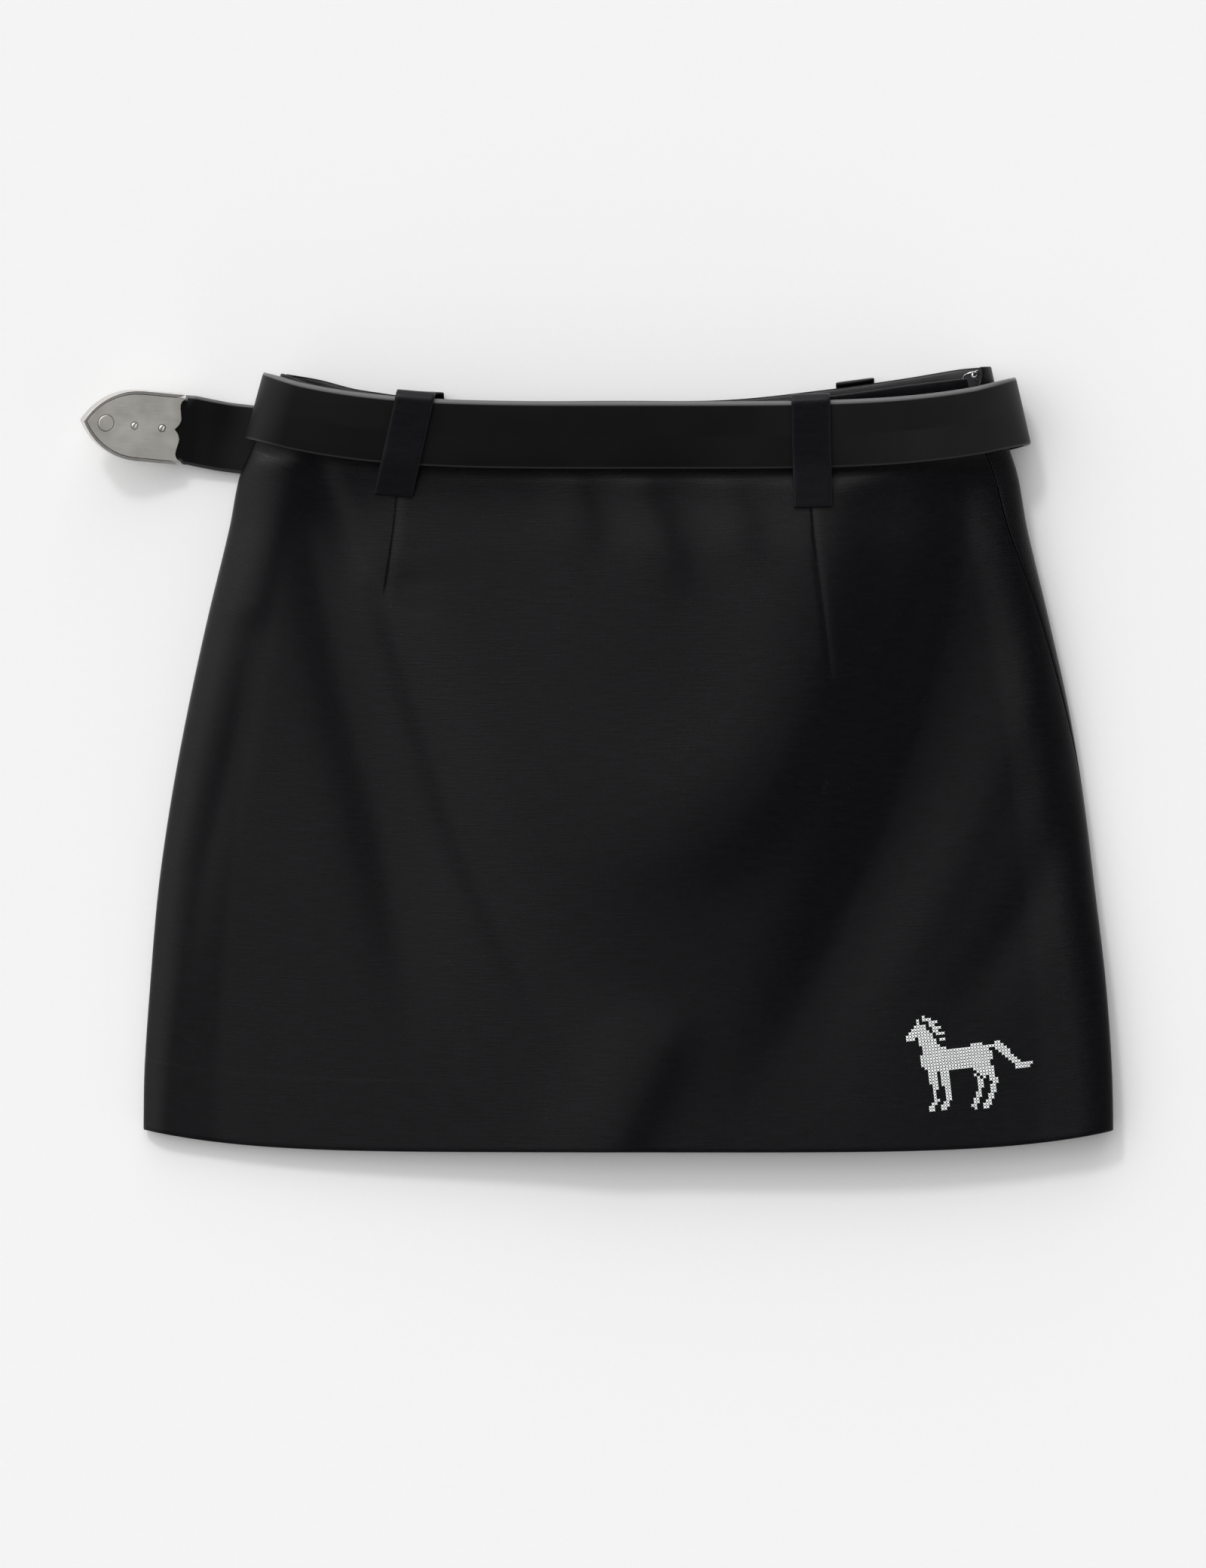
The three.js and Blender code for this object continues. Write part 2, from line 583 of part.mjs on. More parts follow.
// The directions of the metal end: along it to its point, across it, and out of its upper face.
function tipFrame() {
  const along = new THREE.Vector3(
    -Math.cos(TIP_HEADING) * Math.cos(TIP_CLIMB),
    Math.sin(TIP_HEADING) * Math.cos(TIP_CLIMB),
    Math.sin(TIP_CLIMB),
  );
  const level = new THREE.Vector3(Math.sin(TIP_HEADING), Math.cos(TIP_HEADING), 0);
  const rolled = level.multiplyScalar(Math.cos(TIP_ROLL)).add(new THREE.Vector3(0, 0, Math.sin(TIP_ROLL)));
  const up = rolled.clone().cross(along).normalize();
  const across = along.clone().cross(up).normalize();
  return { along, across, up };
}

// Metal end of the belt. Its plan is drawn with its point at x = 0 and the strap beyond x = TIP_LENGTH.
const PLATE_HALF = 16;
const PLATE_THICK = 1.2;
const CAP_RIM = 1.8; // how far the outer cap stands out beyond the inner plate
const CAP_THICK = 1.4;
const CAP_HOLLOW = 0.35; // gap between the inner plate and the cap's rim
const CAP_SHORT = 1.2; // how far the cap's scalloped edge stops before the plate's
const METAL_GAP = 0.3; // air between two pieces of the metal end
const SINK_GAP = 0.35; // air round the stud and the screws
const BEYOND = 6; // how far the cap's hollow is cut beyond its open side
const ARCH_LENGTH = 27.5;

// The scalloped edge, from the middle of the plate outwards: how far from the middle, and how far from the
// point.
const SCALLOP = [
  { off: 0, reach: 46.2 },
  { off: 1.8, reach: 47.9 },
  { off: 4.8, reach: 49.2 },
  { off: 8.4, reach: 48.6 },
  { off: 12.4, reach: 48 },
  { off: 15, reach: 49.2 },
  { off: PLATE_HALF, reach: 51.4 },
];

// A plan with a pointed arch at the left and the scalloped edge at the right, grown outwards by a margin.
function tipPlan(margin, trim) {
  const half = PLATE_HALF + margin;
  const arch = ARCH_LENGTH + margin;
  const radius = (arch ** 2 + half ** 2) / (2 * half);
  const sweep = Math.asin(arch / radius);
  const shape = new THREE.Shape();
  shape.moveTo(-margin, 0);
  const archSteps = 9;
  for (let k = 1; k <= archSteps; k++) {
    const angle = sweep * (1 - k / archSteps);
    shape.lineTo(ARCH_LENGTH - radius * Math.sin(angle), -(half - radius + radius * Math.cos(angle)));
  }
  const edge = SCALLOP.map(({ off, reach }) => new THREE.Vector2(reach - trim, (off * half) / PLATE_HALF));
  const lower = edge.map((p) => new THREE.Vector2(p.x, -p.y)).reverse();
  const scallop = (points) => new THREE.SplineCurve(points).getPoints(12);
  const joined = [...scallop(lower), ...scallop(edge).slice(1)];
  joined.forEach((p) => shape.lineTo(p.x, p.y));
  for (let k = archSteps; k >= 1; k--) {
    const angle = sweep * (1 - k / archSteps);
    shape.lineTo(ARCH_LENGTH - radius * Math.sin(angle), half - radius + radius * Math.cos(angle));
  }
  return shape;
}

const wasm = await Module();
wasm.setup();

// A closed three.js geometry as a solid that can be joined and cut, and back again.
function solid(geometry) {
  const bare = geometry.index ? geometry.toNonIndexed() : geometry.clone();
  bare.deleteAttribute("normal");
  bare.deleteAttribute("uv");
  const merged = mergeVertices(bare, 1e-4);
  const triVerts = new Uint32Array(merged.index.array);
  const vertProperties = merged.attributes.position.array;
  return new wasm.Manifold(new wasm.Mesh({ numProp: 3, vertProperties, triVerts }));
}

function geometryOf(made) {
  const mesh = made.getMesh();
  const geometry = new THREE.BufferGeometry();
  geometry.setAttribute("position", new THREE.BufferAttribute(Float32Array.from(mesh.vertProperties), 3));
  geometry.setIndex(new THREE.BufferAttribute(Uint32Array.from(mesh.triVerts), 1));
  return geometry;
}

const slab = (shape, from, to) =>
  new THREE.ExtrudeGeometry(shape, { depth: to - from, bevelEnabled: false }).translate(0, 0, from);

const disc = (radius, from, to, x, sides) =>
  new THREE.CylinderGeometry(radius, radius, to - from, sides)
    .rotateX(Math.PI / 2)
    .translate(x, 0, (from + to) / 2);

const PLATE_FROM = BELT_THICK / 2 + METAL_GAP;
const PLATE_TO = PLATE_FROM + PLATE_THICK;
const STUD_AT = 10;
const STUD_RADIUS = 4;
const STUD_RISE = 0.35; // how far it stands out of the plate
const STUD_SINK = 0.8;
const STUD_SIDES = 28;
const STUD_ROUND = 0.3;
const SCREWS_AT = [25, 39.6];
const SCREW_RADIUS = 1.7;
const SCREW_SINK = 0.7;
const SCREW_SIDES = 14;

function innerPlate() {
  const sink = (radius, depth, x, sides) =>
    solid(disc(radius + SINK_GAP, PLATE_TO - depth, PLATE_TO + 1, x, sides));
  let plate = solid(slab(tipPlan(0, 0), PLATE_FROM, PLATE_TO));
  for (const x of SCREWS_AT) {
    plate = plate.subtract(sink(SCREW_RADIUS, SCREW_SINK, x, SCREW_SIDES));
  }
  return geometryOf(plate.subtract(sink(STUD_RADIUS, STUD_SINK, STUD_AT, STUD_SIDES)));
}

// The outer cap is a tray: a plate under the strap and a rim that rises round the strap and the inner plate.
function outerCap() {
  const floor = -BELT_THICK / 2 - METAL_GAP;
  const body = solid(slab(tipPlan(CAP_RIM, CAP_SHORT), floor - CAP_THICK, PLATE_TO + METAL_GAP));
  const hollow = solid(slab(tipPlan(CAP_HOLLOW, -BEYOND), floor, PLATE_TO + 2));
  return geometryOf(body.subtract(hollow));
}

// The stud is a low disc with a rounded rim, set in the inner plate.
function stud() {
  const top = PLATE_TO + STUD_RISE;
  const profile = [
    [0, PLATE_TO - STUD_SINK + METAL_GAP],
    [STUD_RADIUS, PLATE_TO - STUD_SINK + METAL_GAP],
    [STUD_RADIUS, top - STUD_ROUND],
    [STUD_RADIUS - STUD_ROUND, top],
    [0, top],
  ].map(([r, z]) => new THREE.Vector2(r, z));
  return new THREE.LatheGeometry(profile, STUD_SIDES).rotateX(Math.PI / 2).translate(STUD_AT, 0, 0);
}

const SCREW_RISE = 0.1; // how far a screw stands out of the plate
const SCREW_FOOT = PLATE_TO - SCREW_SINK + METAL_GAP;
const screw = (x) => disc(SCREW_RADIUS, SCREW_FOOT, PLATE_TO + SCREW_RISE, x, SCREW_SIDES);

// A belt loop is a strip with its ends folded under. On the page it leans from its lower end to its upper one,
// and its ends stay parallel to the strap. Each row of its path is how far up the page and how high. The strip
// leans across with the face under it, which is given for a place and for the strip's own height on the page.
const LOOP_STEPS = 28;

function loop(bottom, top, slope, path, face, floor = 0) {
  const xAt = (y) => THREE.MathUtils.mapLinear(y, bottom.y, top.y, bottom.x, top.x);
  const curve = new THREE.CatmullRomCurve3(path.map(([y, z]) => new THREE.Vector3(xAt(y), y, z)));
  const side = LOOP_WIDTH / 2;
  const stations = curve.getSpacedPoints(LOOP_STEPS).map((at) => {
    at.z = Math.max(at.z, floor);
    const right = face(at.x + side, at.y + side * slope, at.y);
    const left = face(at.x - side, at.y - side * slope, at.y);
    const across = new THREE.Vector3(1, slope, (right - left) / (2 * side));
    return { at, across, width: LOOP_WIDTH, thick: LOOP_THICK };
  });
  return strip(stations, LOOP_CHAMFER);
}

function frontLoop(bottom, top, slope) {
  const half = LOOP_THICK / 2;
  const rest = LOOP_OVER_CLOTH + half;
  const xAt = (y) => THREE.MathUtils.mapLinear(y, bottom.y, top.y, bottom.x, top.x);
  const overStrap = (y) => strapFaceZ(xAt(y), y, 1);
  const reach = (BELT_WIDTH / 2) * Math.cos(BELT_TILT);
  const rimY = frontRunY(top.x) + reach;
  const lowY = frontRunY(bottom.x) - reach;
  const cloth = (y) => crownZ(xAt(y), y);
  const path = [
    [bottom.y, cloth(bottom.y) + rest],
    [(2 * bottom.y + lowY) / 3, (2 * cloth(bottom.y) + overStrap(lowY)) / 3 + rest + 0.3],
    [lowY + 1, overStrap(lowY + 1) + rest + 0.6],
    [lowY + 12, overStrap(lowY + 12) + rest + 0.2],
    [rimY - 5, overStrap(rimY - 5) + rest + 0.1],
    [rimY + 0.2, overStrap(rimY) + rest - 0.2],
    [top.y - half, overStrap(rimY) - 1.6],
    [top.y - half, cloth(rimY) + 2],
  ];
  const face = (x, y, ownY) =>
    THREE.MathUtils.lerp(crownZ(x, y), strapFaceZ(x, y, 1), smooth(bottom.y, lowY, ownY));
  return loop(bottom, top, slope, path, face);
}

// The same loop under the back: it lies on the surface, with the strap over it.
function backLoop(bottom, top, slope) {
  const half = LOOP_THICK / 2;
  const waistY = read(WAIST, "x", top.x, "back");
  const path = [
    [bottom.y, backZ(bottom.x, bottom.y) - 0.5 - half],
    [bottom.y + 3, backZ(bottom.x, bottom.y + 3) - 0.9 - half],
    [bottom.y + 9, half + 0.35],
    [bottom.y + 15, half],
    [top.y - 12, half],
    [top.y - 5.5, half],
    [top.y - half - 0.4, 2.6],
    [top.y - half, 4.6],
    [Math.max(waistY + half + 0.5, top.y - half - 0.5), backZ(top.x, waistY) + CLOTH],
  ];
  return loop(bottom, top, slope, path, () => 0, half);
}

// Round wire along a bent line, closed at its ends.
function wire(points, radius, steps) {
  const curve = new THREE.CatmullRomCurve3(points.map((p) => new THREE.Vector3(...p)));
  const frames = curve.computeFrenetFrames(steps, false);
  const sides = 8;
  const vertices = [];
  for (let k = 0; k <= steps; k++) {
    const at = curve.getPointAt(k / steps);
    for (let i = 0; i < sides; i++) {
      const angle = (2 * Math.PI * i) / sides;
      const ring = at.clone().addScaledVector(frames.normals[k], radius * Math.cos(angle));
      vertices.push(ring.addScaledVector(frames.binormals[k], radius * Math.sin(angle)));
    }
  }
  return closedTube(vertices, sides);
}

const suiting = { color: 0x1b1b1d, roughness: 0.85, metalness: 0 };
const facingCloth = { color: 0x222224, roughness: 0.8, metalness: 0 };
const leather = { color: 0x161616, roughness: 0.45, metalness: 0 };
const steel = { color: 0xb4b2ab, roughness: 0.35, metalness: 1 };

// The fastened hook and eye at the top of the right seam. The hook starts inside the front's waist edge and
// bends down through the eye, whose ends lie inside the back.
const HOOK_WIRE = 0.45;
const HOOK_LINE = [
  [165.6, 195.6, 29.8],
  [167.6, 198.8, 29.5],
  [168.6, 201.4, 30.6],
  [169.6, 202.2, 32.6],
  [171.2, 202.9, 33.8],
  [173.4, 203.3, 33.2],
  [175, 202.8, 30.8],
  [175.1, 201.8, 28],
  [174.2, 201.2, 25.8],
  [172.8, 200.8, 25.6],
];
const HOOK_STEPS = 36;
const EYE_STEPS = 24;
const EYE_LINE = [
  [178.9, 204.8, 23.3],
  [177.2, 204.6, 24.8],
  [175, 204.1, 26.4],
  [173.2, 203.2, 27.6],
  [172.7, 201.8, 28],
  [173.4, 200.3, 27.9],
  [175.3, 199.3, 26.9],
  [177.4, 198.8, 26],
  [178.8, 198.7, 25.2],
];

const FRONT_CAP_STEPS = 8; // columns of the front, round each side edge and between them
const FRONT_STEPS = 30;
const BACK_CAP_STEPS = 7; // columns of the back and its facing
const BACK_STEPS = 20;

const skirt = new THREE.Group();

function piece(name, geometry, look, parent = skirt) {
  const mesh = new THREE.Mesh(geometry, new THREE.MeshStandardMaterial(look));
  mesh.name = name;
  parent.add(mesh);
  return mesh;
}

piece("front_panel", wall(panelGrid("front", FRONT_CAP_STEPS, FRONT_STEPS), CLOTH, 1), suiting);
piece("back_panel", wall(panelGrid("back", BACK_CAP_STEPS, BACK_STEPS), CLOTH, -1), suiting);
piece("back_facing", wall(facingGrid(BACK_CAP_STEPS, BACK_STEPS), FACING, -1), facingCloth);

piece("loop_front_left", frontLoop({ x: -118.9, y: 141.4 }, { x: -107, y: 193.4 }, -0.09), suiting);
piece("loop_front_right", frontLoop({ x: 92.3, y: 135.6 }, { x: 90.8, y: 192 }, 0.04), suiting);
piece("loop_back_left", backLoop({ x: -101, y: 137 }, { x: -103.5, y: 194.6 }, -0.04), suiting);
piece("loop_back_right", backLoop({ x: 119, y: 139 }, { x: 114, y: 200.4 }, 0.13), suiting);

piece("belt_strap", strip(beltStations(), BELT_CHAMFER), leather);

piece("hook", wire(HOOK_LINE, HOOK_WIRE, HOOK_STEPS), steel);
piece("eye", wire(EYE_LINE, HOOK_WIRE, EYE_STEPS), steel);

// The metal end is drawn flat and then laid on the strap's tip.
const metal = new THREE.Group();
const { along, across, up } = tipFrame();
metal.matrixAutoUpdate = false;
const point = TIP_START.clone().addScaledVector(along, TIP_LENGTH);
metal.matrix.makeBasis(along.clone().negate(), across, up).setPosition(point);
skirt.add(metal);
piece("tip_inner_plate", innerPlate(), steel, metal);
piece("tip_outer_cap", outerCap(), steel, metal);
piece("tip_stud", stud(), steel, metal);
SCREWS_AT.forEach((x, k) => piece(`tip_screw_${k + 1}`, screw(x), steel, metal));

export default skirt;
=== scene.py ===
"""Black A-line mini skirt with its own belt and a cross-stitched horse, laid on its back on a pale table.

Sizes are in millimetres until mesh_object(), which makes metres of them. +X is the viewer's right, +Y runs
from the hem to the waist and +Z is up off the table. "Across" runs from 0 at a panel's left seam to 1 at
its right seam, and "share across" from -1 to 1.
"""

import math

import bmesh
import bpy
import numpy as np
from mathutils import Matrix, Vector


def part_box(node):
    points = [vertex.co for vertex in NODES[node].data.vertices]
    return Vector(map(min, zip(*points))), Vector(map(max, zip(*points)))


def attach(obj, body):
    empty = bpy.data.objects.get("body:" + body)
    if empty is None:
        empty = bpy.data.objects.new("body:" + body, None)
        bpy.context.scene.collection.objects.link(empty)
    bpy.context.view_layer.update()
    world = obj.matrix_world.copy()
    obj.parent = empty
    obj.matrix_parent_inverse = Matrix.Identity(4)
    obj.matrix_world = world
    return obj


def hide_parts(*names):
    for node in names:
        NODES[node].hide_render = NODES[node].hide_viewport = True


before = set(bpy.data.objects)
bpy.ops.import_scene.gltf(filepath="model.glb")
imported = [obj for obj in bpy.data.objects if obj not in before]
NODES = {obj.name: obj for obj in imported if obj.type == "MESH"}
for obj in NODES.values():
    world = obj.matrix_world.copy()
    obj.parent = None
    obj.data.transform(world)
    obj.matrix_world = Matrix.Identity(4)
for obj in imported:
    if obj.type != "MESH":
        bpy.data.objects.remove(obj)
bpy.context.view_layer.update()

CLOTH = 1.6
FACING = 1.0
FACING_BELOW_EDGE = 0.8
SEAM_GAP = 0.3
SEAM_SLACK = 0.1
BACK_HEM_SHORT = 3
HEM_MIDDLE, HEM_RISE, HEM_HALF, HEM_POWER = -189.6, 11, 245, 5
HEM_ALLOWANCE = 36
BELT_WIDTH = 35
BELT_THICK = 3.8
BELT_TILT = math.radians(20)
LOOP_WIDTH, LOOP_THICK = 19.5, 1.5

# The tube's side edges by height on the page: where each lies, its height over the table, and the angle at
# which its seam runs round it.
EDGES = np.array([
    # y, left x, right x, left z, right z, left seam, right seam
    (208, -173.5, 182, 24, 23, -24, 53),
    (185, -183.1, 187, 22, 22, -24, 53),
    (167, -189.6, 191.3, 18, 18, -24, 53),
    (152, -196.5, 196, 15, 15, -24, 54),
    (125, -202, 201, 12, 11.5, -24, 52),
    (80, -213, 211.7, 9, 11, -24, 36),
    (34, -223, 222, 7.5, 8.5, -24, 23),
    (-11, -231.4, 229.5, 6.5, 7, -24, 4),
    (-57, -238, 235.2, 6, 9, -24, -10),
    (-103, -242, 240.5, 5.5, 12, -24, -18),
    (-148, -245, 243.6, 5, 13.5, -24, -22),
    (-190, -245.6, 244.4, 4.8, 14.5, -24, -24),
], float)

# How far in from each edge the front and the back take to round over.
ROUNDING = np.array([
    # y, front left, front right, back left, back right
    (208, 34, 34, 26, 26),
    (167, 34, 34, 24, 24),
    (152, 30, 30, 20, 20),
    (125, 28, 26, 16, 16),
    (80, 26, 24, 12, 14),
    (-11, 22, 24, 9, 11),
    (-103, 16, 20, 7, 13),
    (-190, 11, 18, 7, 14),
], float)

# Height of the front over the table at five places across.
CROWN_AT = np.array([-0.85, -0.45, 0, 0.45, 0.85])
CROWN = np.array([
    # y, then the height at each of those places
    (208, 40, 46.5, 48, 46.5, 40),
    (188, 37.5, 43, 44, 43, 37.5),
    (165, 30, 32.8, 33.6, 33, 30.2),
    (150, 27, 29.8, 30.6, 30.4, 27.8),
    (110, 24.6, 29, 31.8, 31.6, 27),
    (60, 21.5, 27.4, 32, 30.2, 22.6),
    (0, 17.5, 24.5, 31, 28.2, 19.4),
    (-60, 14.5, 21.2, 27.8, 25.8, 19.0),
    (-120, 12, 18.2, 24.6, 24, 19.2),
    (-190, 10, 15.2, 21.6, 22.8, 19.4),
], float)

# Soft folds of the front: lift, width to its left and to its right on the page, and its bent line on the
# page, from the waist down.
BELLY_LINE = [(105, 160), (99, 103), (93, 61), (80, 22), (57, -17), (19, -38), (-38, -34)]
RIGHT_LINE = [(176, 160), (169, 100), (154, 42), (135, -15), (113, -66), (88, -120), (52, -190)]
FOLDS = [
    ("belly ridge", 3.0, 40, 24, BELLY_LINE),
    ("right trough", -3.8, 20, 40, RIGHT_LINE),
    ("right ridge", 0.6, 20, 12, [(215, 76), (196, 27), (173, -27), (146, -80), (108, -152)]),
    ("right low trough", -0.9, 12, 16, [(230, 8), (215, -38), (188, -87), (146, -144)]),
    ("left crease", -2.2, 13, 5, [(-160, 167), (-141, 122), (-122, 84)]),
    ("left trough", -3.0, 15, 34, [(-160, 133), (-142, 42), (-126, -20), (-118, -60), (-104, -141)]),
    ("second left crease", -1.3, 8, 21, [(-125, 95), (-102, 21), (-82, -40), (-52, -101), (-21, -148)]),
    ("far left trough", -1.1, 14, 9, [(-192, 76), (-203, 11), (-217, -46), (-228, -114)]),
    ("hem ridge", 1.9, 30, 15, [(19, -129), (2, -165), (-28, -224)]),
    ("waist fold left", 0.9, 13, 8, [(-32, 158), (-25, 137), (-19, 112)]),
    ("waist fold middle", 1.5, 15, 10, [(0, 158), (14, 125), (27, 87)]),
    ("waist fold right", 1.2, 13, 10, [(40, 158), (54, 133), (63, 103)]),
    ("first short wrinkle", -0.1, 2.5, 2.5, [(-124, 117), (-110, 115), (-97, 115)]),
    ("second short wrinkle", -0.09, 2.5, 2.5, [(-116, 99), (-101, 98), (-85, 98)]),
    ("third short wrinkle", -0.09, 2.2, 2.2, [(-119, 86), (-106, 84), (-93, 85)]),
]
# A fold is a row of mounds. It fades from one part of its length to just past its end.
FOLD_RUN_OUT, FOLD_END = 0.55, 1.05
MOUND_REACH, MOUND_SPACING = 1 / 3, 0.6

# The darts: a place that each passes, and the height on the page at which it ends. A dart is pressed to one
# side, so it is steep on its left.
DARTS = [(-117, 140, 88), (91.6, 135, 45)]
DART_DEPTH, DART_LEFT, DART_RIGHT, DART_RUN_OUT = 0.4, 0.4, 2.6, 9

# Waist edges: x, front y, back y.
WAIST = np.array([
    (-180, 203.6, 203.6),
    (-160, 197, 200.5),
    (-135, 191.6, 195),
    (-90, 188, 190.3),
    (0, 187.2, 189.8),
    (50, 187.4, 190.3),
    (100, 191, 195.5),
    (140, 196.5, 201),
    (170, 200, 205.6),
    (186, 201, 206.8),
], float)
OPEN_FROM_Y, OPEN_TO_Y, OPEN_DEGREES = 186, 206, 20

BACK_LIFT, BACK_LIFT_FROM_Y, BACK_LIFT_TO_Y = 6.4, 92, 142
# The back lies higher where the strap is double under it.
DOUBLE_LIFT, DOUBLE_LIFT_FROM_X, DOUBLE_LIFT_TO_X = 4.8, -110, -133


def unit(v):
    return np.asarray(v, float) / np.linalg.norm(v, axis=-1, keepdims=True)


def smooth(start, end, value):
    """Rises softly from 0 at start to 1 at end."""
    t = np.clip((np.asarray(value, float) - start) / (end - start), 0, 1)
    return t * t * (3 - 2 * t)


def along_rows(keys, rows, value):
    """Reads a smooth curve through table rows. rows holds one column, or a column for each value."""
    keys, rows = np.asarray(keys, float), np.asarray(rows, float)
    if keys[0] > keys[-1]:
        keys, rows = keys[::-1], rows[::-1]
    value = np.asarray(value, float)
    spans = keys[2:] - keys[:-2]
    slopes = np.empty_like(rows)
    slopes[1:-1] = (rows[2:] - rows[:-2]) / (spans if rows.ndim == 1 else spans[:, None])
    slopes[0] = (rows[1] - rows[0]) / (keys[1] - keys[0])
    slopes[-1] = (rows[-1] - rows[-2]) / (keys[-1] - keys[-2])
    i = np.clip(np.searchsorted(keys, value, side="right") - 1, 0, len(keys) - 2)
    span = keys[i + 1] - keys[i]
    t = np.clip((value - keys[i]) / span, 0, 1)
    if rows.ndim == 1:
        pick = lambda table, k: table[k]
    else:
        pick = lambda table, k: table[k, np.arange(table.shape[1])]
    return (
        (2 * t**3 - 3 * t**2 + 1) * pick(rows, i)
        + (t**3 - 2 * t**2 + t) * pick(slopes, i) * span
        + (3 * t**2 - 2 * t**3) * pick(rows, i + 1)
        + (t**3 - t**2) * pick(slopes, i + 1) * span
    )


def column(table, number, value):
    return along_rows(table[:, 0], table[:, number], value)


def edge(y, what, side):
    return column(EDGES, 1 + 2 * ("x", "z", "seam").index(what) + "LR".index(side), y)


def rounding(y, panel, side):
    return column(ROUNDING, 1 + 2 * ("front", "back").index(panel) + "LR".index(side), y)


def hem_y(x):
    return HEM_MIDDLE + HEM_RISE * np.minimum(1, np.abs(x / HEM_HALF)) ** HEM_POWER


def share_across(x, y):
    left, right = edge(y, "x", "L"), edge(y, "x", "R")
    return 2 * (x - left) / (right - left) - 1


def x_across(share, y):
    left, right = edge(y, "x", "L"), edge(y, "x", "R")
    return left + (right - left) * (share + 1) / 2


def flat_part(y, panel):
    """Where a panel's left side has rounded over and where its right side starts to."""
    return edge(y, "x", "L") + rounding(y, panel, "L"), edge(y, "x", "R") - rounding(y, panel, "R")


def spline(points, steps):
    """Places on a smooth curve through points, with so many steps from each point to the next."""
    points = np.asarray(points, float)
    ends = np.vstack([2 * points[0] - points[1], points, 2 * points[-1] - points[-2]])
    t = np.arange(steps)[:, None] / steps
    places = []
    for a, b, c, d in zip(ends[:-3], ends[1:-2], ends[2:-1], ends[3:]):
        square, cube = 2 * a - 5 * b + 4 * c - d, 3 * b - a - 3 * c + d
        places.append(0.5 * (2 * b + (c - a) * t + square * t**2 + cube * t**3))
    return np.vstack(places + [points[-1:]])


def run_along(points):
    """The way from a line's first point to each of its points."""
    return np.concatenate([[0], np.cumsum(np.linalg.norm(np.diff(points, axis=0), axis=1))])


def headings(points):
    return unit(np.gradient(points, axis=0))


def even(points, count):
    """The same way along a line of points, cut at even lengths."""
    run = run_along(points)
    to = np.linspace(0, run[-1], count)
    return np.stack([np.interp(to, run, part) for part in points.T], -1)


def fold_marks(left, right, line):
    """Even places along a fold's line, each with its share of the fold and the way along the line."""
    reach = (left + right) * MOUND_REACH
    line = spline(line, 4)
    length = run_along(line)[-1]
    count = max(2, math.ceil(length / (reach * MOUND_SPACING)) + 1)
    places = even(line, count)
    fading = smooth(FOLD_END, FOLD_RUN_OUT, np.linspace(0, 1, count))
    shares = length / (count - 1) / (reach * math.sqrt(math.pi)) * fading
    return reach, shares, places, headings(places)


FOLD_MARKS = [(lift, left, right, fold_marks(left, right, line)) for _, lift, left, right, line in FOLDS]


def fold_lift(x, y):
    """Sum of the folds, each a row of soft mounds along its line that run into each other."""
    total = np.zeros(np.shape(x))
    for lift, left, right, (reach, shares, places, ways) in FOLD_MARKS:
        for share, (place_x, place_y), (way_x, way_y) in zip(shares, places, ways):
            off_x, off_y = x - place_x, y - place_y
            beside = off_x * way_y - off_y * way_x
            ahead = off_x * way_x + off_y * way_y
            # Going down the page, the page's left is on the way's right hand.
            width = np.where(beside > 0, left, right)
            total += lift * share * np.exp(-((beside / width) ** 2) - (ahead / reach) ** 2)
    return total


def dart_fall(x, y):
    total = np.zeros(np.shape(x))
    for dart_x, dart_y, end in DARTS:
        away = x - x_across(share_across(dart_x, dart_y), y)
        width = np.where(away < 0, DART_LEFT, DART_RIGHT)
        total += DART_DEPTH * smooth(end, end + DART_RUN_OUT, y) * np.exp(-((away / width) ** 2))
    return total


FRONT_RUN_Y, FRONT_RUN_RISE, FRONT_RUN_MIDDLE, FRONT_RUN_SPAN = 171.5, 12.9, 9.5, 190
FRONT_RUN_Z, FRONT_RUN_FALL = 40.4, 4.6
STRAP_CLEARANCE = 0.95
STRAP_MARGIN = 3
RISE_FROM_STRAP = 0.8
SOFTNESS = 0.8


def front_run_y(x):
    return FRONT_RUN_Y + FRONT_RUN_RISE * np.abs((x - FRONT_RUN_MIDDLE) / FRONT_RUN_SPAN) ** 4


def front_run_slope(x):
    return (front_run_y(x + 1) - front_run_y(x - 1)) / 2


def front_run_z(x):
    return FRONT_RUN_Z - FRONT_RUN_FALL * np.abs((x - FRONT_RUN_MIDDLE) / FRONT_RUN_SPAN) ** 3


def strap_face_z(x, y, side):
    """Height of the strap's upper face (side 1) or of its face on the cloth (side -1)."""
    middle = front_run_z(x) + (y - front_run_y(x)) * math.tan(BELT_TILT)
    return middle + side * BELT_THICK / 2 / math.cos(BELT_TILT)


def crown_z(x, y):
    flat_y = np.ravel(y)
    row = np.array([column(CROWN, k + 1, flat_y) for k in range(len(CROWN_AT))])
    free = along_rows(CROWN_AT, row, np.ravel(share_across(x, y))).reshape(np.shape(x)) + fold_lift(x, y)
    rim = BELT_WIDTH / 2 * math.cos(BELT_TILT) + STRAP_MARGIN
    away = np.maximum(0, np.abs(y - front_run_y(x)) - rim)
    pressed = strap_face_z(x, y, -1) - STRAP_CLEARANCE + away * RISE_FROM_STRAP
    return -SOFTNESS * np.logaddexp(-free / SOFTNESS, -pressed / SOFTNESS)


def front_z(x, y):
    return crown_z(x, y) - dart_fall(x, y)


def back_z(x, y):
    lift = BACK_LIFT + DOUBLE_LIFT * smooth(DOUBLE_LIFT_FROM_X, DOUBLE_LIFT_TO_X, x)
    return lift * smooth(BACK_LIFT_FROM_Y, BACK_LIFT_TO_Y, y)


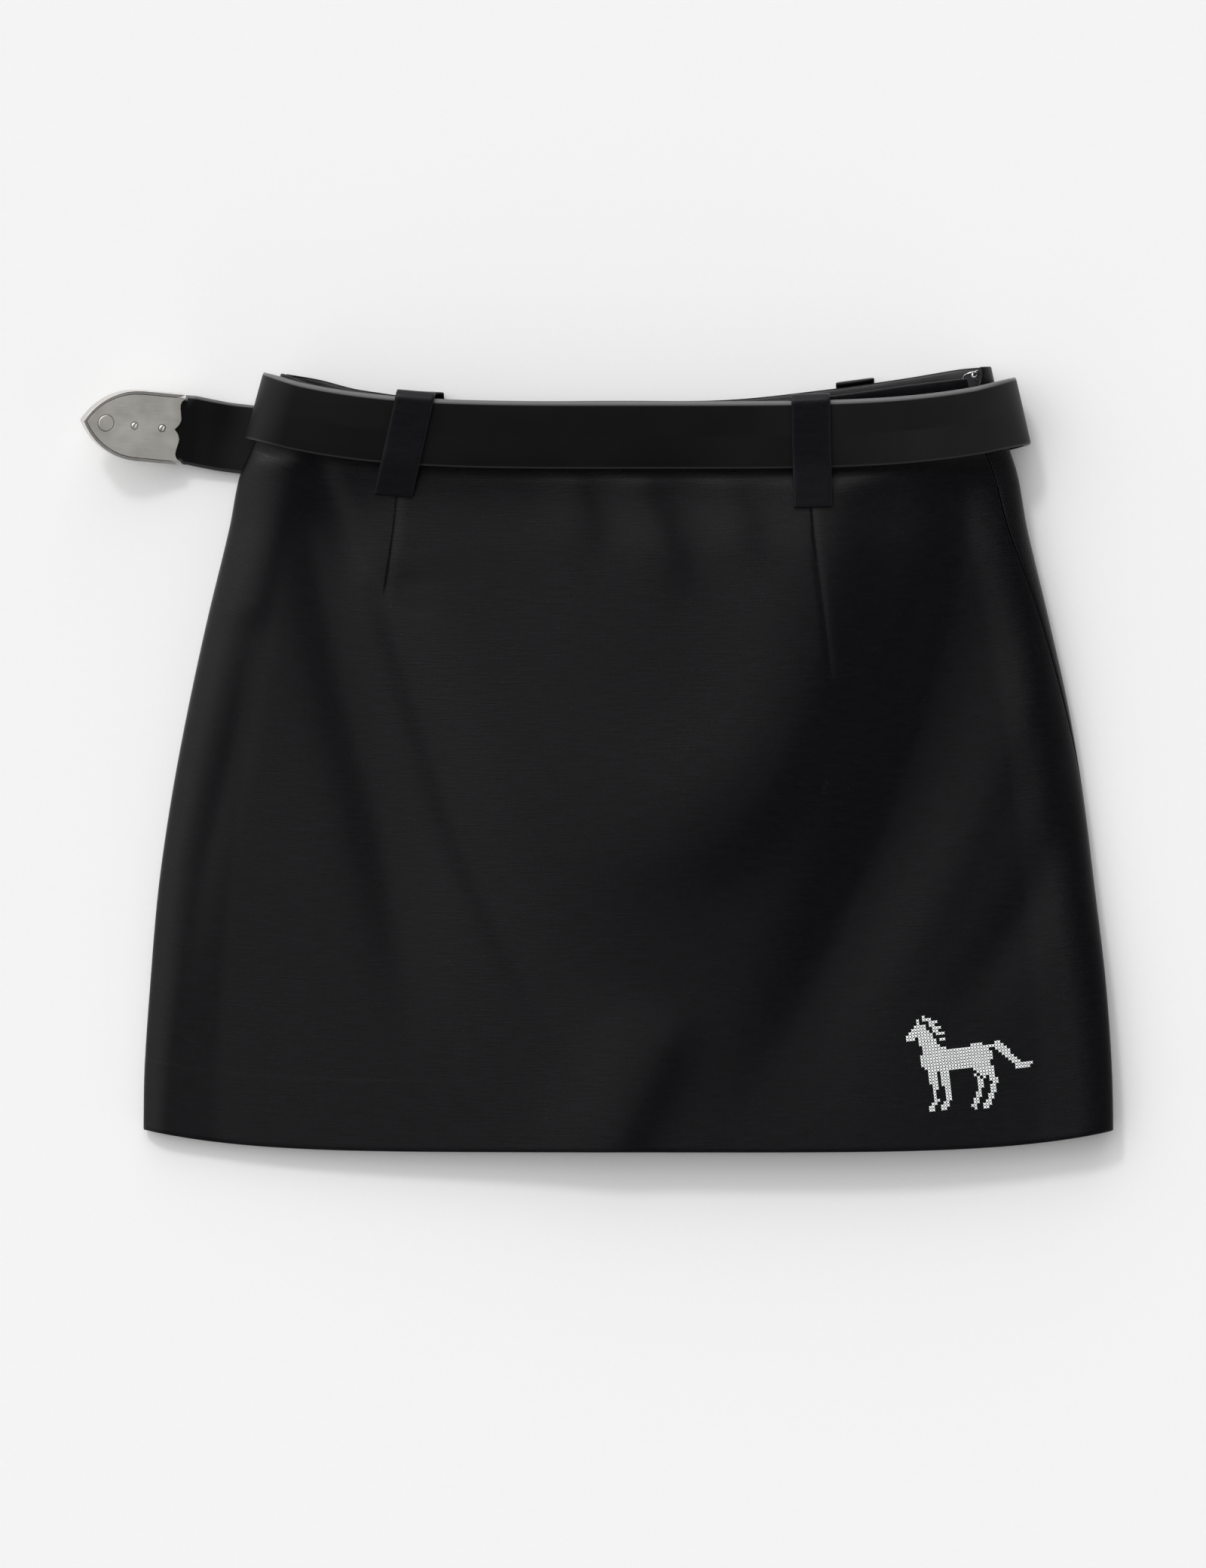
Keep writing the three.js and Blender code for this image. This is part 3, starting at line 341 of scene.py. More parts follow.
def edge_point(y, side, degrees):
    """Places round a side edge of the tube, at an angle from that edge: 90 is on top and -90 underneath."""
    angle = np.radians(degrees)
    towards = 1 if side == "L" else -1
    over = degrees >= 0
    round_in = np.where(over, rounding(y, "front", side), rounding(y, "back", side))
    x = edge(y, "x", side) + towards * round_in * (1 - np.cos(angle))
    face = np.where(over, front_z(x, y), back_z(x, y))
    middle = edge(y, "z", side)
    return np.stack([x, y, middle + (face - middle) * np.abs(np.sin(angle))], -1)


def seam_angle(y, side, panel):
    """The angle at which a panel's side edge runs, half a seam's gap from the seam itself."""
    seam = edge(y, "seam", side)
    turn = 1 if side == "L" else -1

    def inner_face(degrees):
        ahead = edge_point(y, side, degrees + 1) - edge_point(y, side, degrees - 1)
        length = np.hypot(ahead[..., 0], ahead[..., 2])
        inwards = np.stack([ahead[..., 2], 0 * length, -ahead[..., 0]], -1) / length[..., None]
        return edge_point(y, side, degrees) + inwards * CLOTH * turn

    per_degree = np.linalg.norm(inner_face(seam + 1) - inner_face(seam - 1), axis=-1) / 2
    gap = (SEAM_GAP / 2 + SEAM_SLACK) / per_degree
    if panel == "front":
        return seam + gap
    opening = OPEN_DEGREES * smooth(OPEN_FROM_Y, OPEN_TO_Y, y) if side == "R" else 0
    return seam - gap - opening


def panel_point(panel, y, across, cap_share):
    """Places on a panel's outer face, given as arrays of y and of across."""
    points = np.zeros(np.shape(y) + (3,))
    crest = 90 if panel == "front" else -90
    left_cap, right_cap = across < cap_share, across > 1 - cap_share
    for side, mask in (("L", left_cap), ("R", right_cap)):
        if mask.any():
            own_y, own = y[mask], across[mask]
            t = (own if side == "L" else 1 - own) / cap_share
            start = seam_angle(own_y, side, panel)
            points[mask] = edge_point(own_y, side, start + (crest - start) * t)
    mask = ~(left_cap | right_cap)
    own_y = y[mask]
    t = (across[mask] - cap_share) / (1 - 2 * cap_share)
    left, right = flat_part(own_y, panel)
    x = left + (right - left) * t
    face = front_z if panel == "front" else back_z
    points[mask] = np.stack([x, own_y, face(x, own_y)], -1)
    return points


def on_panel(panel, y, across, cap_share):
    """Places on a panel, and the direction out of the cloth at each."""

    def at(off_y, off_across):
        return panel_point(panel, y + off_y, across + off_across, cap_share)

    step_y, step = 0.7, 0.0015
    out = np.cross(at(-step_y, 0) - at(step_y, 0), at(0, step) - at(0, -step))
    return at(0, 0), unit(out) * (1 if panel == "front" else -1)


# A rounded edge: how far from a wall's edge its first lines run, and how far each lies under the outer
# face, in shares of its radius. Other grid lines keep clear of it by as many radii.
EDGE_LINES = [(0, 1.0), (0.12, 0.52), (0.45, 0.17), (1.0, 0.0)]
EDGE_CLEAR = 1.7
# A panel's mean width over its surface, and heights on the page near its waist and its hem.
PANEL_WIDTH, TOP_Y, FOOT_Y = 480, 195.0, -188.0


def with_edges(start, end, inner, radius):
    """Places from start to end, with the closer lines of both rounded edges."""
    way = 1 if end > start else -1
    near = [start + way * off * radius for off, _ in EDGE_LINES]
    far = [end - way * off * radius for off, _ in reversed(EDGE_LINES)]
    clear = EDGE_CLEAR * radius
    kept = [v for v in inner if abs(v - start) > clear and abs(v - end) > clear]
    return np.array(near + kept + far)


def panel_grid(
    panel, cap_share, across_inner, rows_inner, thickness=CLOTH, inset=0.0, below=0.0, trim=0.0, foot=None
):
    """Outer points and directions of a panel, with lines crowded at its edges for the rounding."""
    edge_radius = thickness / 2
    across = with_edges(trim, 1 - trim, across_inner, edge_radius / PANEL_WIDTH)
    top_x = panel_point(panel, np.full(across.shape, TOP_Y), across, cap_share)[:, 0]
    hem_x = panel_point(panel, np.full(across.shape, FOOT_Y), across, cap_share)[:, 0]
    top = column(WAIST, 1 if panel == "front" else 2, top_x) - below
    hem = hem_y(hem_x) + (BACK_HEM_SHORT if panel == "back" else 0)
    if foot is not None:
        hem = np.full(across.shape, float(foot))
    shares = np.array(rows_inner)
    rows = np.array([with_edges(a, b, a + (b - a) * shares, edge_radius) for a, b in zip(top, hem)]).T
    across = np.broadcast_to(across, rows.shape)
    at, out = on_panel(panel, rows, across, cap_share)
    return at - out * inset, out


def edge_drop(count):
    drop = np.zeros(count)
    for k, (_, part) in enumerate(EDGE_LINES):
        drop[k] = drop[count - 1 - k] = part
    return drop


def wall(name, grid, thickness, turn, extra=None):
    """A closed wall behind a grid of outer points, with rounded edges. The two faces share their edge."""
    at, out = grid
    rows, columns = at.shape[:2]
    drop = np.maximum(edge_drop(rows)[:, None], edge_drop(columns)[None, :])[..., None] * thickness / 2
    if extra is not None:
        at = at + out * extra[..., None]
    outer = at - out * drop
    inner = at - out * (thickness - drop)
    index = np.arange(rows * columns).reshape(rows, columns)
    inside = np.full((rows, columns), -1)
    inner_shape = (rows - 2, columns - 2)
    inside[1:-1, 1:-1] = rows * columns + np.arange(math.prod(inner_shape)).reshape(inner_shape)
    back = np.where(inside < 0, index, inside)
    vertices = np.concatenate([outer.reshape(-1, 3), inner[1:-1, 1:-1].reshape(-1, 3)])

    def quads(grid_index, flip):
        a, b = grid_index[:-1, :-1], grid_index[1:, :-1]
        c, d = grid_index[1:, 1:], grid_index[:-1, 1:]
        order = (d, c, b, a) if flip else (a, b, c, d)
        return np.stack(order, -1).reshape(-1, 4)

    faces = np.concatenate([quads(index, turn < 0), quads(back, turn > 0)])
    steps = np.linalg.norm(np.diff(at, axis=1), axis=-1)
    run = np.concatenate([np.zeros((rows, 1)), np.cumsum(steps, axis=1)], 1)
    run -= run[:, columns // 2][:, None]
    drops = np.linalg.norm(np.diff(at, axis=0), axis=-1).mean(1)
    fall = -np.concatenate([[0], np.cumsum(drops)])[:, None] + np.zeros((rows, columns))
    uv = np.stack([run, fall], -1)
    uv = np.concatenate([uv.reshape(-1, 2), uv[1:-1, 1:-1].reshape(-1, 2)])
    return mesh_object(name, vertices, faces.tolist(), uv[faces.ravel()])


def in_scene(name, data):
    thing = bpy.data.objects.new(name, data)
    bpy.context.scene.collection.objects.link(thing)
    return thing


def mesh_object(name, vertices, faces, uv=None):
    """A mesh object in metres from places in mm. uv is a pair, also in mm, for each corner of the faces."""
    mesh = bpy.data.meshes.new(name)
    mesh.from_pydata((np.asarray(vertices) / 1000).tolist(), [], faces)
    if uv is not None:
        layer = mesh.uv_layers.new(name="cloth")
        layer.data.foreach_set("uv", (np.asarray(uv) / 1000).ravel())
    mesh.shade_smooth()
    return in_scene(name, mesh)


def dress(thing, material, slot, *stands_for):
    thing.data.materials.clear()
    thing.data.materials.append(material)
    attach(thing, "root")
    if stands_for:
        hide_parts(*stands_for)
    return thing


def shader_group(name, inputs, outputs):
    group = bpy.data.node_groups.new(name, "ShaderNodeTree")
    for label, kind, value in inputs:
        socket = group.interface.new_socket(label, in_out="INPUT", socket_type=kind)
        if value is not None:
            socket.default_value = value
    for label, kind in outputs:
        group.interface.new_socket(label, in_out="OUTPUT", socket_type=kind)
    return group, group.nodes.new("NodeGroupInput"), group.nodes.new("NodeGroupOutput")


def finished(group, out, **values):
    """Joins values to a group's outputs and gives the group back."""
    for label, value in values.items():
        group.links.new(value, out.inputs[label.replace("_", " ")])
    return group


class Wiring:
    """Short ways to add and join the nodes of one tree."""

    def __init__(self, tree):
        self.tree = tree

    def node(self, kind, settings=None, **inputs):
        made = self.tree.nodes.new(kind)
        for key, value in (settings or {}).items():
            setattr(made, key, value)
        return self.fill(made, **inputs)

    def fill(self, made, **inputs):
        for key, value in inputs.items():
            self.feed(made.inputs[key.replace("_", " ")], value)
        return made

    def feed(self, socket, value):
        if isinstance(value, bpy.types.NodeSocket):
            self.tree.links.new(value, socket)
        else:
            socket.default_value = value

    def math(self, operation, *values):
        made = self.tree.nodes.new("ShaderNodeMath")
        made.operation = operation
        for socket, value in zip(made.inputs, values):
            self.feed(socket, value)
        return made.outputs[0]

    def plus(self, a, b):
        return self.math("ADD", a, b)

    def less(self, a, b):
        return self.math("SUBTRACT", a, b)

    def times(self, a, b):
        return self.math("MULTIPLY", a, b)

    def apart(self, a, b):
        return self.math("ABSOLUTE", self.less(a, b))

    def noise(self, vector, scale, detail, roughness=0.5):
        made = self.node("ShaderNodeTexNoise", Vector=vector, Scale=scale, Detail=detail)
        return self.fill(made, Roughness=roughness).outputs["Fac"]

    def mix(self, factor, a, b):
        made = self.tree.nodes.new("ShaderNodeMix")
        made.data_type = "RGBA"
        self.feed(made.inputs["Factor"], factor)
        self.feed(made.inputs[6], a)
        self.feed(made.inputs[7], b)
        return made.outputs[2]

    def ramp(self, value, *stops):
        made = self.tree.nodes.new("ShaderNodeValToRGB")
        for k, (place, grey) in enumerate(stops):
            stop = made.color_ramp.elements[k] if k < 2 else made.color_ramp.elements.new(place)
            stop.position = place
            stop.color = (grey, grey, grey, 1)
        self.feed(made.inputs[0], value)
        return made.outputs[0]


def weave_group():
    """A twill of two thread systems on a UV map, with short and long slubs."""
    group, into, out = shader_group(
        "Twill weave",
        [("Vector", "NodeSocketVector", None), ("Threads per metre", "NodeSocketFloat", 1600.0)],
        [(label, "NodeSocketFloat") for label in ("Height", "Threads", "Slubs", "Long slubs")],
    )
    w = Wiring(group)
    vector, rate = into.outputs["Vector"], into.outputs["Threads per metre"]
    parts = w.node("ShaderNodeSeparateXYZ", Vector=vector)
    shift = w.times(w.less(w.noise(vector, 900.0, 2.0), 0.5), 1.1)
    u = w.plus(w.times(parts.outputs["X"], rate), shift)
    v = w.plus(w.times(parts.outputs["Y"], rate), shift)
    diagonal = w.math("SINE", w.times(w.plus(u, v), math.pi))
    warp = w.math("ABSOLUTE", w.math("SINE", w.times(u, math.pi)))
    weft = w.math("ABSOLUTE", w.math("SINE", w.times(v, math.pi)))
    threads = w.plus(w.times(diagonal, 0.45), w.times(w.times(warp, weft), 0.55))
    slubs = w.noise(vector, 260.0, 4.0, 0.65)
    run = w.node("ShaderNodeMapping", Vector=vector, Scale=(70.0, 1100.0, 1.0))
    long_slubs = w.ramp(w.noise(run.outputs[0], 1.0, 3.0, 0.6), (0.35, 0.0), (0.7, 1.0))
    height = w.plus(w.plus(threads, w.times(slubs, 0.7)), w.times(long_slubs, 0.5))
    return finished(group, out, Height=height, Threads=threads, Slubs=slubs, Long_slubs=long_slubs)


def wear_group():
    """Soft large stains, fine specks of lint and small scratches, as masks from 0 to 1."""
    group, into, out = shader_group(
        "Handling wear",
        [
            ("Vector", "NodeSocketVector", None),
            ("Speck scale", "NodeSocketFloat", 700.0),
            ("Stain scale", "NodeSocketFloat", 9.0),
        ],
        [(label, "NodeSocketFloat") for label in ("Specks", "Stains", "Scratches")],
    )
    w = Wiring(group)
    vector = into.outputs["Vector"]
    fine = w.node("ShaderNodeTexVoronoi", Vector=vector, Scale=into.outputs["Speck scale"])
    rare = w.ramp(w.noise(vector, 120.0, 2.0), (0.6, 0.0), (0.72, 1.0))
    dot = w.ramp(fine.outputs["Distance"], (0.05, 1.0), (0.16, 0.0))
    stains = w.ramp(w.noise(vector, into.outputs["Stain scale"], 5.0, 0.55), (0.3, 0.0), (0.75, 1.0))
    streak = w.node(
        "ShaderNodeMapping", Vector=vector, Rotation=(0.0, 0.0, 0.4), Scale=(60.0, 1900.0, 400.0)
    )
    lines = w.ramp(w.noise(streak.outputs[0], 1.0, 3.0), (0.45, 0.0), (0.8, 1.0))
    return finished(group, out, Specks=w.times(dot, rare), Stains=stains, Scratches=lines)


def grain_group():
    """Leather grain: pebbles parted by fine creases, on soft broad swells."""
    group, into, out = shader_group(
        "Leather grain",
        [("Vector", "NodeSocketVector", None), ("Pebbles per metre", "NodeSocketFloat", 1100.0)],
        [("Height", "NodeSocketFloat")],
    )
    w = Wiring(group)
    vector, rate = into.outputs["Vector"], into.outputs["Pebbles per metre"]
    warp = w.node("ShaderNodeTexNoise", Vector=vector, Scale=240.0, Detail=2.0)
    push = w.node("ShaderNodeVectorMath", {"operation": "MULTIPLY_ADD"})
    w.feed(push.inputs[0], warp.outputs["Color"])
    push.inputs[1].default_value = (0.0012, 0.0012, 0.0012)
    w.feed(push.inputs[2], vector)
    edges = {"feature": "DISTANCE_TO_EDGE"}
    cells = w.node("ShaderNodeTexVoronoi", edges, Vector=push.outputs[0], Scale=rate)
    creases = w.ramp(cells.outputs["Distance"], (0.0, 1.0), (0.14, 0.0))
    height = w.less(w.times(w.noise(vector, 60.0, 3.0), 0.6), w.times(creases, 0.5))
    return finished(group, out, Height=height)


WEAVE, WEAR, GRAIN = weave_group(), wear_group(), grain_group()


def use_group(w, group, **inputs):
    return w.node("ShaderNodeGroup", {"node_tree": group}, **inputs).outputs


def new_material(name):
    material = bpy.data.materials.new(name)
    material.use_nodes = True
    w = Wiring(material.node_tree)
    return material, w, material.node_tree.nodes["Principled BSDF"], w.node("ShaderNodeTexCoord").outputs


def bump(w, shader, height, strength, distance, over=None):
    made = w.node("ShaderNodeBump", Strength=strength, Distance=distance, Height=height)
    if over is not None:
        w.feed(made.inputs["Normal"], over)
    w.feed(shader.inputs["Normal"], made.outputs[0])


ROLL_REACH, ROLL_HEIGHT = 0.008, 0.0018


def cloth_material(name, dark, light, threads, sheen, strength, specular, streaks):
    material, w, shader, place = new_material(name)
    weave = use_group(w, WEAVE, Vector=place["UV"], Threads_per_metre=threads)
    wear = use_group(w, WEAR, Vector=place["Object"], Stain_scale=7.0)
    tone = w.plus(w.times(weave["Threads"], 0.35), w.times(weave["Slubs"], 0.65))
    cloth = w.mix(w.ramp(tone, (0.2, 0.0), (0.8, 1.0)), dark, light)
    cloth = w.mix(w.times(wear["Stains"], 0.25), cloth, light)
    pale = tuple(3.4 * part for part in light[:3]) + (1,)
    cloth = w.mix(w.times(weave["Long slubs"], streaks), cloth, pale)
    linted = w.mix(w.times(wear["Specks"], 0.5), cloth, (0.09, 0.09, 0.092, 1))
    w.fill(shader, Base_Color=linted, Roughness=w.plus(0.23, w.times(weave["Slubs"], 0.14)))
    w.fill(shader, Sheen_Weight=sheen, Sheen_Roughness=0.5, Sheen_Tint=(0.75, 0.77, 0.82, 1))
    w.fill(shader, Specular_IOR_Level=specular)
    # The cloth rolls up to the strap's lower rim. A piece without this attribute has no roll.
    below = w.node("ShaderNodeAttribute", {"attribute_name": "below_strap"}).outputs["Fac"]
    roll = w.math("EXPONENT", w.times(w.math("MAXIMUM", below, 0.0), -1 / ROLL_REACH))
    rolled = w.node("ShaderNodeBump", Strength=1.0, Distance=ROLL_HEIGHT, Height=roll)
    bump(w, shader, weave["Height"], strength, 0.00015, rolled.outputs[0])
    return material


# Metres round the strap from the middle of its upper face.
HALF_GIRTH, QUARTER_GIRTH = 0.03825, 0.0191


def leather_material(name, along_strap, roughness, strength):
    material, w, shader, place = new_material(name)
    grain = use_group(w, GRAIN, Vector=place["UV"])
    wear = use_group(w, WEAR, Vector=place["UV"], Stain_scale=14.0)
    parts = w.node("ShaderNodeSeparateXYZ", Vector=place["UV"])
    girth = parts.outputs["X"]
    # The grey along the strap is painted light: a painted highlight on both bends and paler leather on the
    # right of the front.
    painted_light_along_strap = w.ramp(parts.outputs["Y"], *along_strap)
    worn = w.math("MULTIPLY_ADD", wear["Stains"], 0.5, 0.75)
    shade = w.node("ShaderNodeVectorMath", {"operation": "SCALE"}, Scale=worn)
    w.feed(shade.inputs[0], painted_light_along_strap)
    hide = w.mix(w.times(wear["Specks"], 0.15), shade.outputs[0], (0.08, 0.08, 0.08, 1))
    # Both rims are painted and polished. They lie a quarter of the girth to each side of the middle of the
    # back, where half of the girth has been run.
    from_rim = w.apart(w.apart(girth, HALF_GIRTH), QUARTER_GIRTH)
    rim = w.ramp(w.times(from_rim, 100.0), (0.26, 1.0), (0.33, 0.0))
    # The upper rim's paint is paler than the lower's: a painted highlight where the upper rim catches the
    # light from beyond the waist.
    upper = w.math("LESS_THAN", girth, HALF_GIRTH)
    edge_paint_and_highlight = w.mix(upper, (0.03, 0.03, 0.031, 1), (0.11, 0.11, 0.112, 1))
    rough = w.times(w.plus(roughness, w.times(wear["Stains"], 0.12)), w.less(1.0, w.times(rim, 0.4)))
    w.fill(shader, Base_Color=w.mix(rim, hide, edge_paint_and_highlight), Roughness=rough, Specular_IOR_Level=0.18)
    bump(w, shader, grain["Height"], strength, 0.0002)
    return material


def metal_material(name, colour, worn, roughness, strength):
    material, w, shader, place = new_material(name)
    wear = use_group(w, WEAR, Vector=place["Object"], Speck_scale=500.0, Stain_scale=70.0)
    rough = w.plus(roughness, w.times(wear["Stains"], 0.15))
    rough = w.plus(rough, w.times(wear["Scratches"], 0.12))
    w.fill(shader, Base_Color=w.mix(wear["Stains"], colour, worn), Roughness=rough, Metallic=1.0)
    bump(w, shader, wear["Scratches"], strength, 0.00008)
    return material


def thread_material():
    material, w, shader, place = new_material("Silver embroidery thread")
    diagonal = {"bands_direction": "DIAGONAL"}
    twist = w.node("ShaderNodeTexWave", diagonal, Vector=place["Object"], Scale=900.0)
    wear = use_group(w, WEAR, Vector=place["Object"], Stain_scale=300.0)
    silver = w.mix(wear["Stains"], (0.8, 0.82, 0.82, 1), (0.92, 0.94, 0.93, 1))
    w.fill(shader, Base_Color=silver, Roughness=0.55, Sheen_Weight=0.2)
    bump(w, shader, twist.outputs["Fac"], 0.3, 0.0001)
    return material


SUITING = cloth_material(
    "Black suiting", (0.0005, 0.0005, 0.0008, 1), (0.0013, 0.0013, 0.0019, 1),
    threads=1500.0, sheen=0.0, strength=0.45, specular=0.18, streaks=0.55,
)
# The loops are of the same suiting, painted lighter: their paler base stands in for light that they catch.
LOOP_CLOTH_PAINTED_LIGHTER = cloth_material(
    "Black loop cloth", (0.0026, 0.0027, 0.0034, 1), (0.0062, 0.0063, 0.0076, 1),
    threads=1500.0, sheen=0.0, strength=0.3, specular=0.15, streaks=0.12,
)
LINING = cloth_material(
    "Black facing cloth", (0.006, 0.006, 0.0066, 1), (0.014, 0.014, 0.0155, 1),
    threads=2600.0, sheen=0.04, strength=0.2, specular=0.3, streaks=0.2,
)
# Base grey of the leather by metres along the strap, with painted light in it: paler at both bends as a
# painted highlight where the strap turns over, paler on the right of the front as painted light, near black
# towards its metal end.
STRAP_GREYS = [
    (0.0, 0.008), (0.055, 0.0095), (0.078, 0.0036), (0.28, 0.003),
    (0.38, 0.0075), (0.45, 0.011), (0.8, 0.005), (0.86, 0.0016),
]
LEATHER = leather_material("Black belt leather", STRAP_GREYS, roughness=0.42, strength=0.12)
PLATE = metal_material("Aged grey metal", (0.61, 0.595, 0.55, 1), (0.73, 0.715, 0.67, 1), 0.5, 0.25)
BRIGHT = metal_material("Polished grey metal", (0.62, 0.6, 0.57, 1), (0.7, 0.68, 0.65, 1), 0.24, 0.15)
WIRE = metal_material("Nickelled wire", (0.8, 0.8, 0.81, 1), (0.7, 0.7, 0.71, 1), 0.16, 0.05)
SILVER = thread_material()


# The share of a panel's width that each rounded side takes up, and the front's length down the middle.
CAP_SHARE, FRONT_LENGTH = 0.16, 377
# Closer grid lines of the front, in millimetres from a dart and from the line of the turned hem.
BESIDE_DART = (-1.9, -1.3, -0.9, -0.65, -0.4, -0.2, 0, 0.2, 0.4, 0.65, 0.9, 1.3, 1.9)
BESIDE_HEM_LINE = (-2, -1.2, -0.6, 0, 0.6, 1.2, 2)
# The turned hem shows as a low step at the left of the front: its height, half its width, and the places
# between which it comes in.
HEM_STEP, HEM_STEP_HALF, HEM_STEP_FROM_X, HEM_STEP_TO_X = 0.06, 0.8, -60, -130


def plain_columns(side_count, middle_count):
    cap = np.linspace(0, CAP_SHARE, side_count)
    middle = np.linspace(CAP_SHARE, 1 - CAP_SHARE, middle_count)
    return np.concatenate([cap, middle[1:-1], 1 - cap[::-1]])


def with_closer(plain, closer, room):
    """Grid lines with closer ones put in. Plain lines within this room of a closer one are left out."""
    return sorted([a for a in plain if all(abs(a - b) > room for b in closer)] + closer)


def front_columns():
    closer = []
    for dart_x, dart_y, _ in DARTS:
        left, right = flat_part(dart_y, "front")
        for off in BESIDE_DART:
            closer.append(CAP_SHARE + (1 - 2 * CAP_SHARE) * (dart_x + off - left) / (right - left))
    return with_closer(plain_columns(31, 165), closer, 0.0012)


def front_rows():
    hem_line = 1 - HEM_ALLOWANCE / FRONT_LENGTH
    closer = [hem_line + off / FRONT_LENGTH for off in BESIDE_HEM_LINE]
    return with_closer(np.linspace(0, 1, 140), closer, 0.0016)


front_grid = panel_grid("front", CAP_SHARE, front_columns(), front_rows())
grid_x, grid_y = front_grid[0][..., 0], front_grid[0][..., 1]
above_hem = grid_y - hem_y(grid_x)
turned_hem = HEM_STEP * smooth(HEM_ALLOWANCE + HEM_STEP_HALF, HEM_ALLOWANCE - HEM_STEP_HALF, above_hem)
turned_hem = turned_hem * smooth(HEM_STEP_FROM_X, HEM_STEP_TO_X, grid_x)
front = dress(wall("front_cloth", front_grid, CLOTH, 1, turned_hem), SUITING, "suiting", "front_panel")
spots = np.empty(3 * len(front.data.vertices))
front.data.vertices.foreach_get("co", spots)
spots = spots.reshape(-1, 3) * 1000
rim_below = front_run_y(spots[:, 0]) - BELT_WIDTH / 2 * math.cos(BELT_TILT)
below_strap = front.data.attributes.new("below_strap", "FLOAT", "POINT")
below_strap.data.foreach_set("value", (rim_below - spots[:, 1]) / 1000)

back_across = plain_columns(19, 90)
back_grid = panel_grid("back", CAP_SHARE, back_across, np.linspace(0, 1, 110))
back = dress(wall("back_cloth", back_grid, CLOTH, -1), SUITING, "suiting", "back_panel")

# The facing's gap behind the back, the share across that it leaves free at each seam, and its lower edge.
FACING_GAP, FACING_TRIM, FACING_FOOT_Y = 0.25, 0.045, 146
facing_grid = panel_grid(
    "back", CAP_SHARE, back_across, np.linspace(0, 1, 26), thickness=FACING,
    inset=CLOTH + SEAM_GAP + FACING_GAP, below=FACING_BELOW_EDGE, trim=FACING_TRIM, foot=FACING_FOOT_Y,
)
facing = dress(wall("waist_facing", facing_grid, FACING, -1), LINING, "facing", "back_facing")


def camera():
    """Looks straight down from far away. The picture's height takes in 790.4 mm at the belly's height."""
    seen, distance, belly, sensor = 0.7904, 6.0, 0.02, 36
    middle_x, middle_y = -0.0133, -0.0038
    data = bpy.data.cameras.new("Camera")
    data.sensor_width = sensor
    data.lens = sensor * distance / seen
    data.clip_start, data.clip_end = 0.1, 50
    bpy.context.scene.camera = in_scene("Camera", data)
    bpy.context.scene.camera.location = (middle_x, middle_y, distance + belly)


# The studio is brightest from beyond the waist. A dark band overhead leans from the hem to the right.
KEY_STRENGTH = 0.8
FILL_STRENGTH = 0.46
SKY_TOWARDS = (-0.3, 0.85, 0.5)
SKY_STOPS = [(0.0, 0.34), (0.2, 0.32), (0.48, 0.68), (0.8, 1.0)]
SIDE_LEAN = 0.6
SIDE_STOPS = [(0.0, 1.0), (0.36, 1.0), (0.5, 0.36), (0.57, 0.02), (0.68, 0.03), (0.83, 0.22), (1.0, 1.0)]
SKY_STRENGTH = 2.12


def sun_light(name, strength, degrees_wide, way):
    data = bpy.data.lights.new(name, "SUN")
    data.energy = strength
    data.angle = math.radians(degrees_wide)
    lamp = in_scene(name, data)
    lamp.rotation_mode = "QUATERNION"
    lamp.rotation_quaternion = Vector(way).to_track_quat("-Z", "Y")
    return lamp


def table_and_light():
    """A pale table 6 m wide, two suns and the studio around them."""
    half = 3000
    floor = mesh_object(
        "table", [(-half, -half, 0), (half, -half, 0), (half, half, 0), (-half, half, 0)], [(0, 1, 2, 3)]
    )
    material, w, shader, place = new_material("Pale table")
    paper = w.mix(w.noise(place["Object"], 400.0, 3.0), (0.745, 0.745, 0.745, 1), (0.765, 0.765, 0.765, 1))
    w.fill(shader, Base_Color=paper, Roughness=0.9, Specular_IOR_Level=0.1)
    floor.data.materials.append(material)
    # The key comes from beyond the waist. The fill comes from overhead and leaves no highlights.
    sun_light("Key", KEY_STRENGTH, 9, (0.45, -1, -1.05))
    sun_light("Fill", FILL_STRENGTH, 20, (0, 0, -1)).visible_glossy = False
    world = bpy.data.worlds.new("Studio")
    world.use_nodes = True
    bpy.context.scene.world = world
    w = Wiring(world.node_tree)
    way = w.node("ShaderNodeTexCoord")
    towards = w.node("ShaderNodeVectorMath", {"operation": "DOT_PRODUCT"})
    w.feed(towards.inputs[0], way.outputs["Generated"])
    towards.inputs[1].default_value = tuple(Vector(SKY_TOWARDS).normalized())
    beyond = w.ramp(towards.outputs["Value"], *SKY_STOPS)
    parts = w.node("ShaderNodeSeparateXYZ", Vector=way.outputs["Generated"])
    leaning = w.less(parts.outputs["X"], w.times(parts.outputs["Y"], SIDE_LEAN))
    sideways = w.ramp(w.math("MULTIPLY_ADD", leaning, 0.5, 0.5), *SIDE_STOPS)
    w.fill(world.node_tree.nodes["Background"], Color=w.times(beyond, sideways), Strength=SKY_STRENGTH)
    scene = bpy.context.scene
    scene.view_settings.view_transform = "Standard"
    scene.view_settings.look = "None"


camera()
table_and_light()


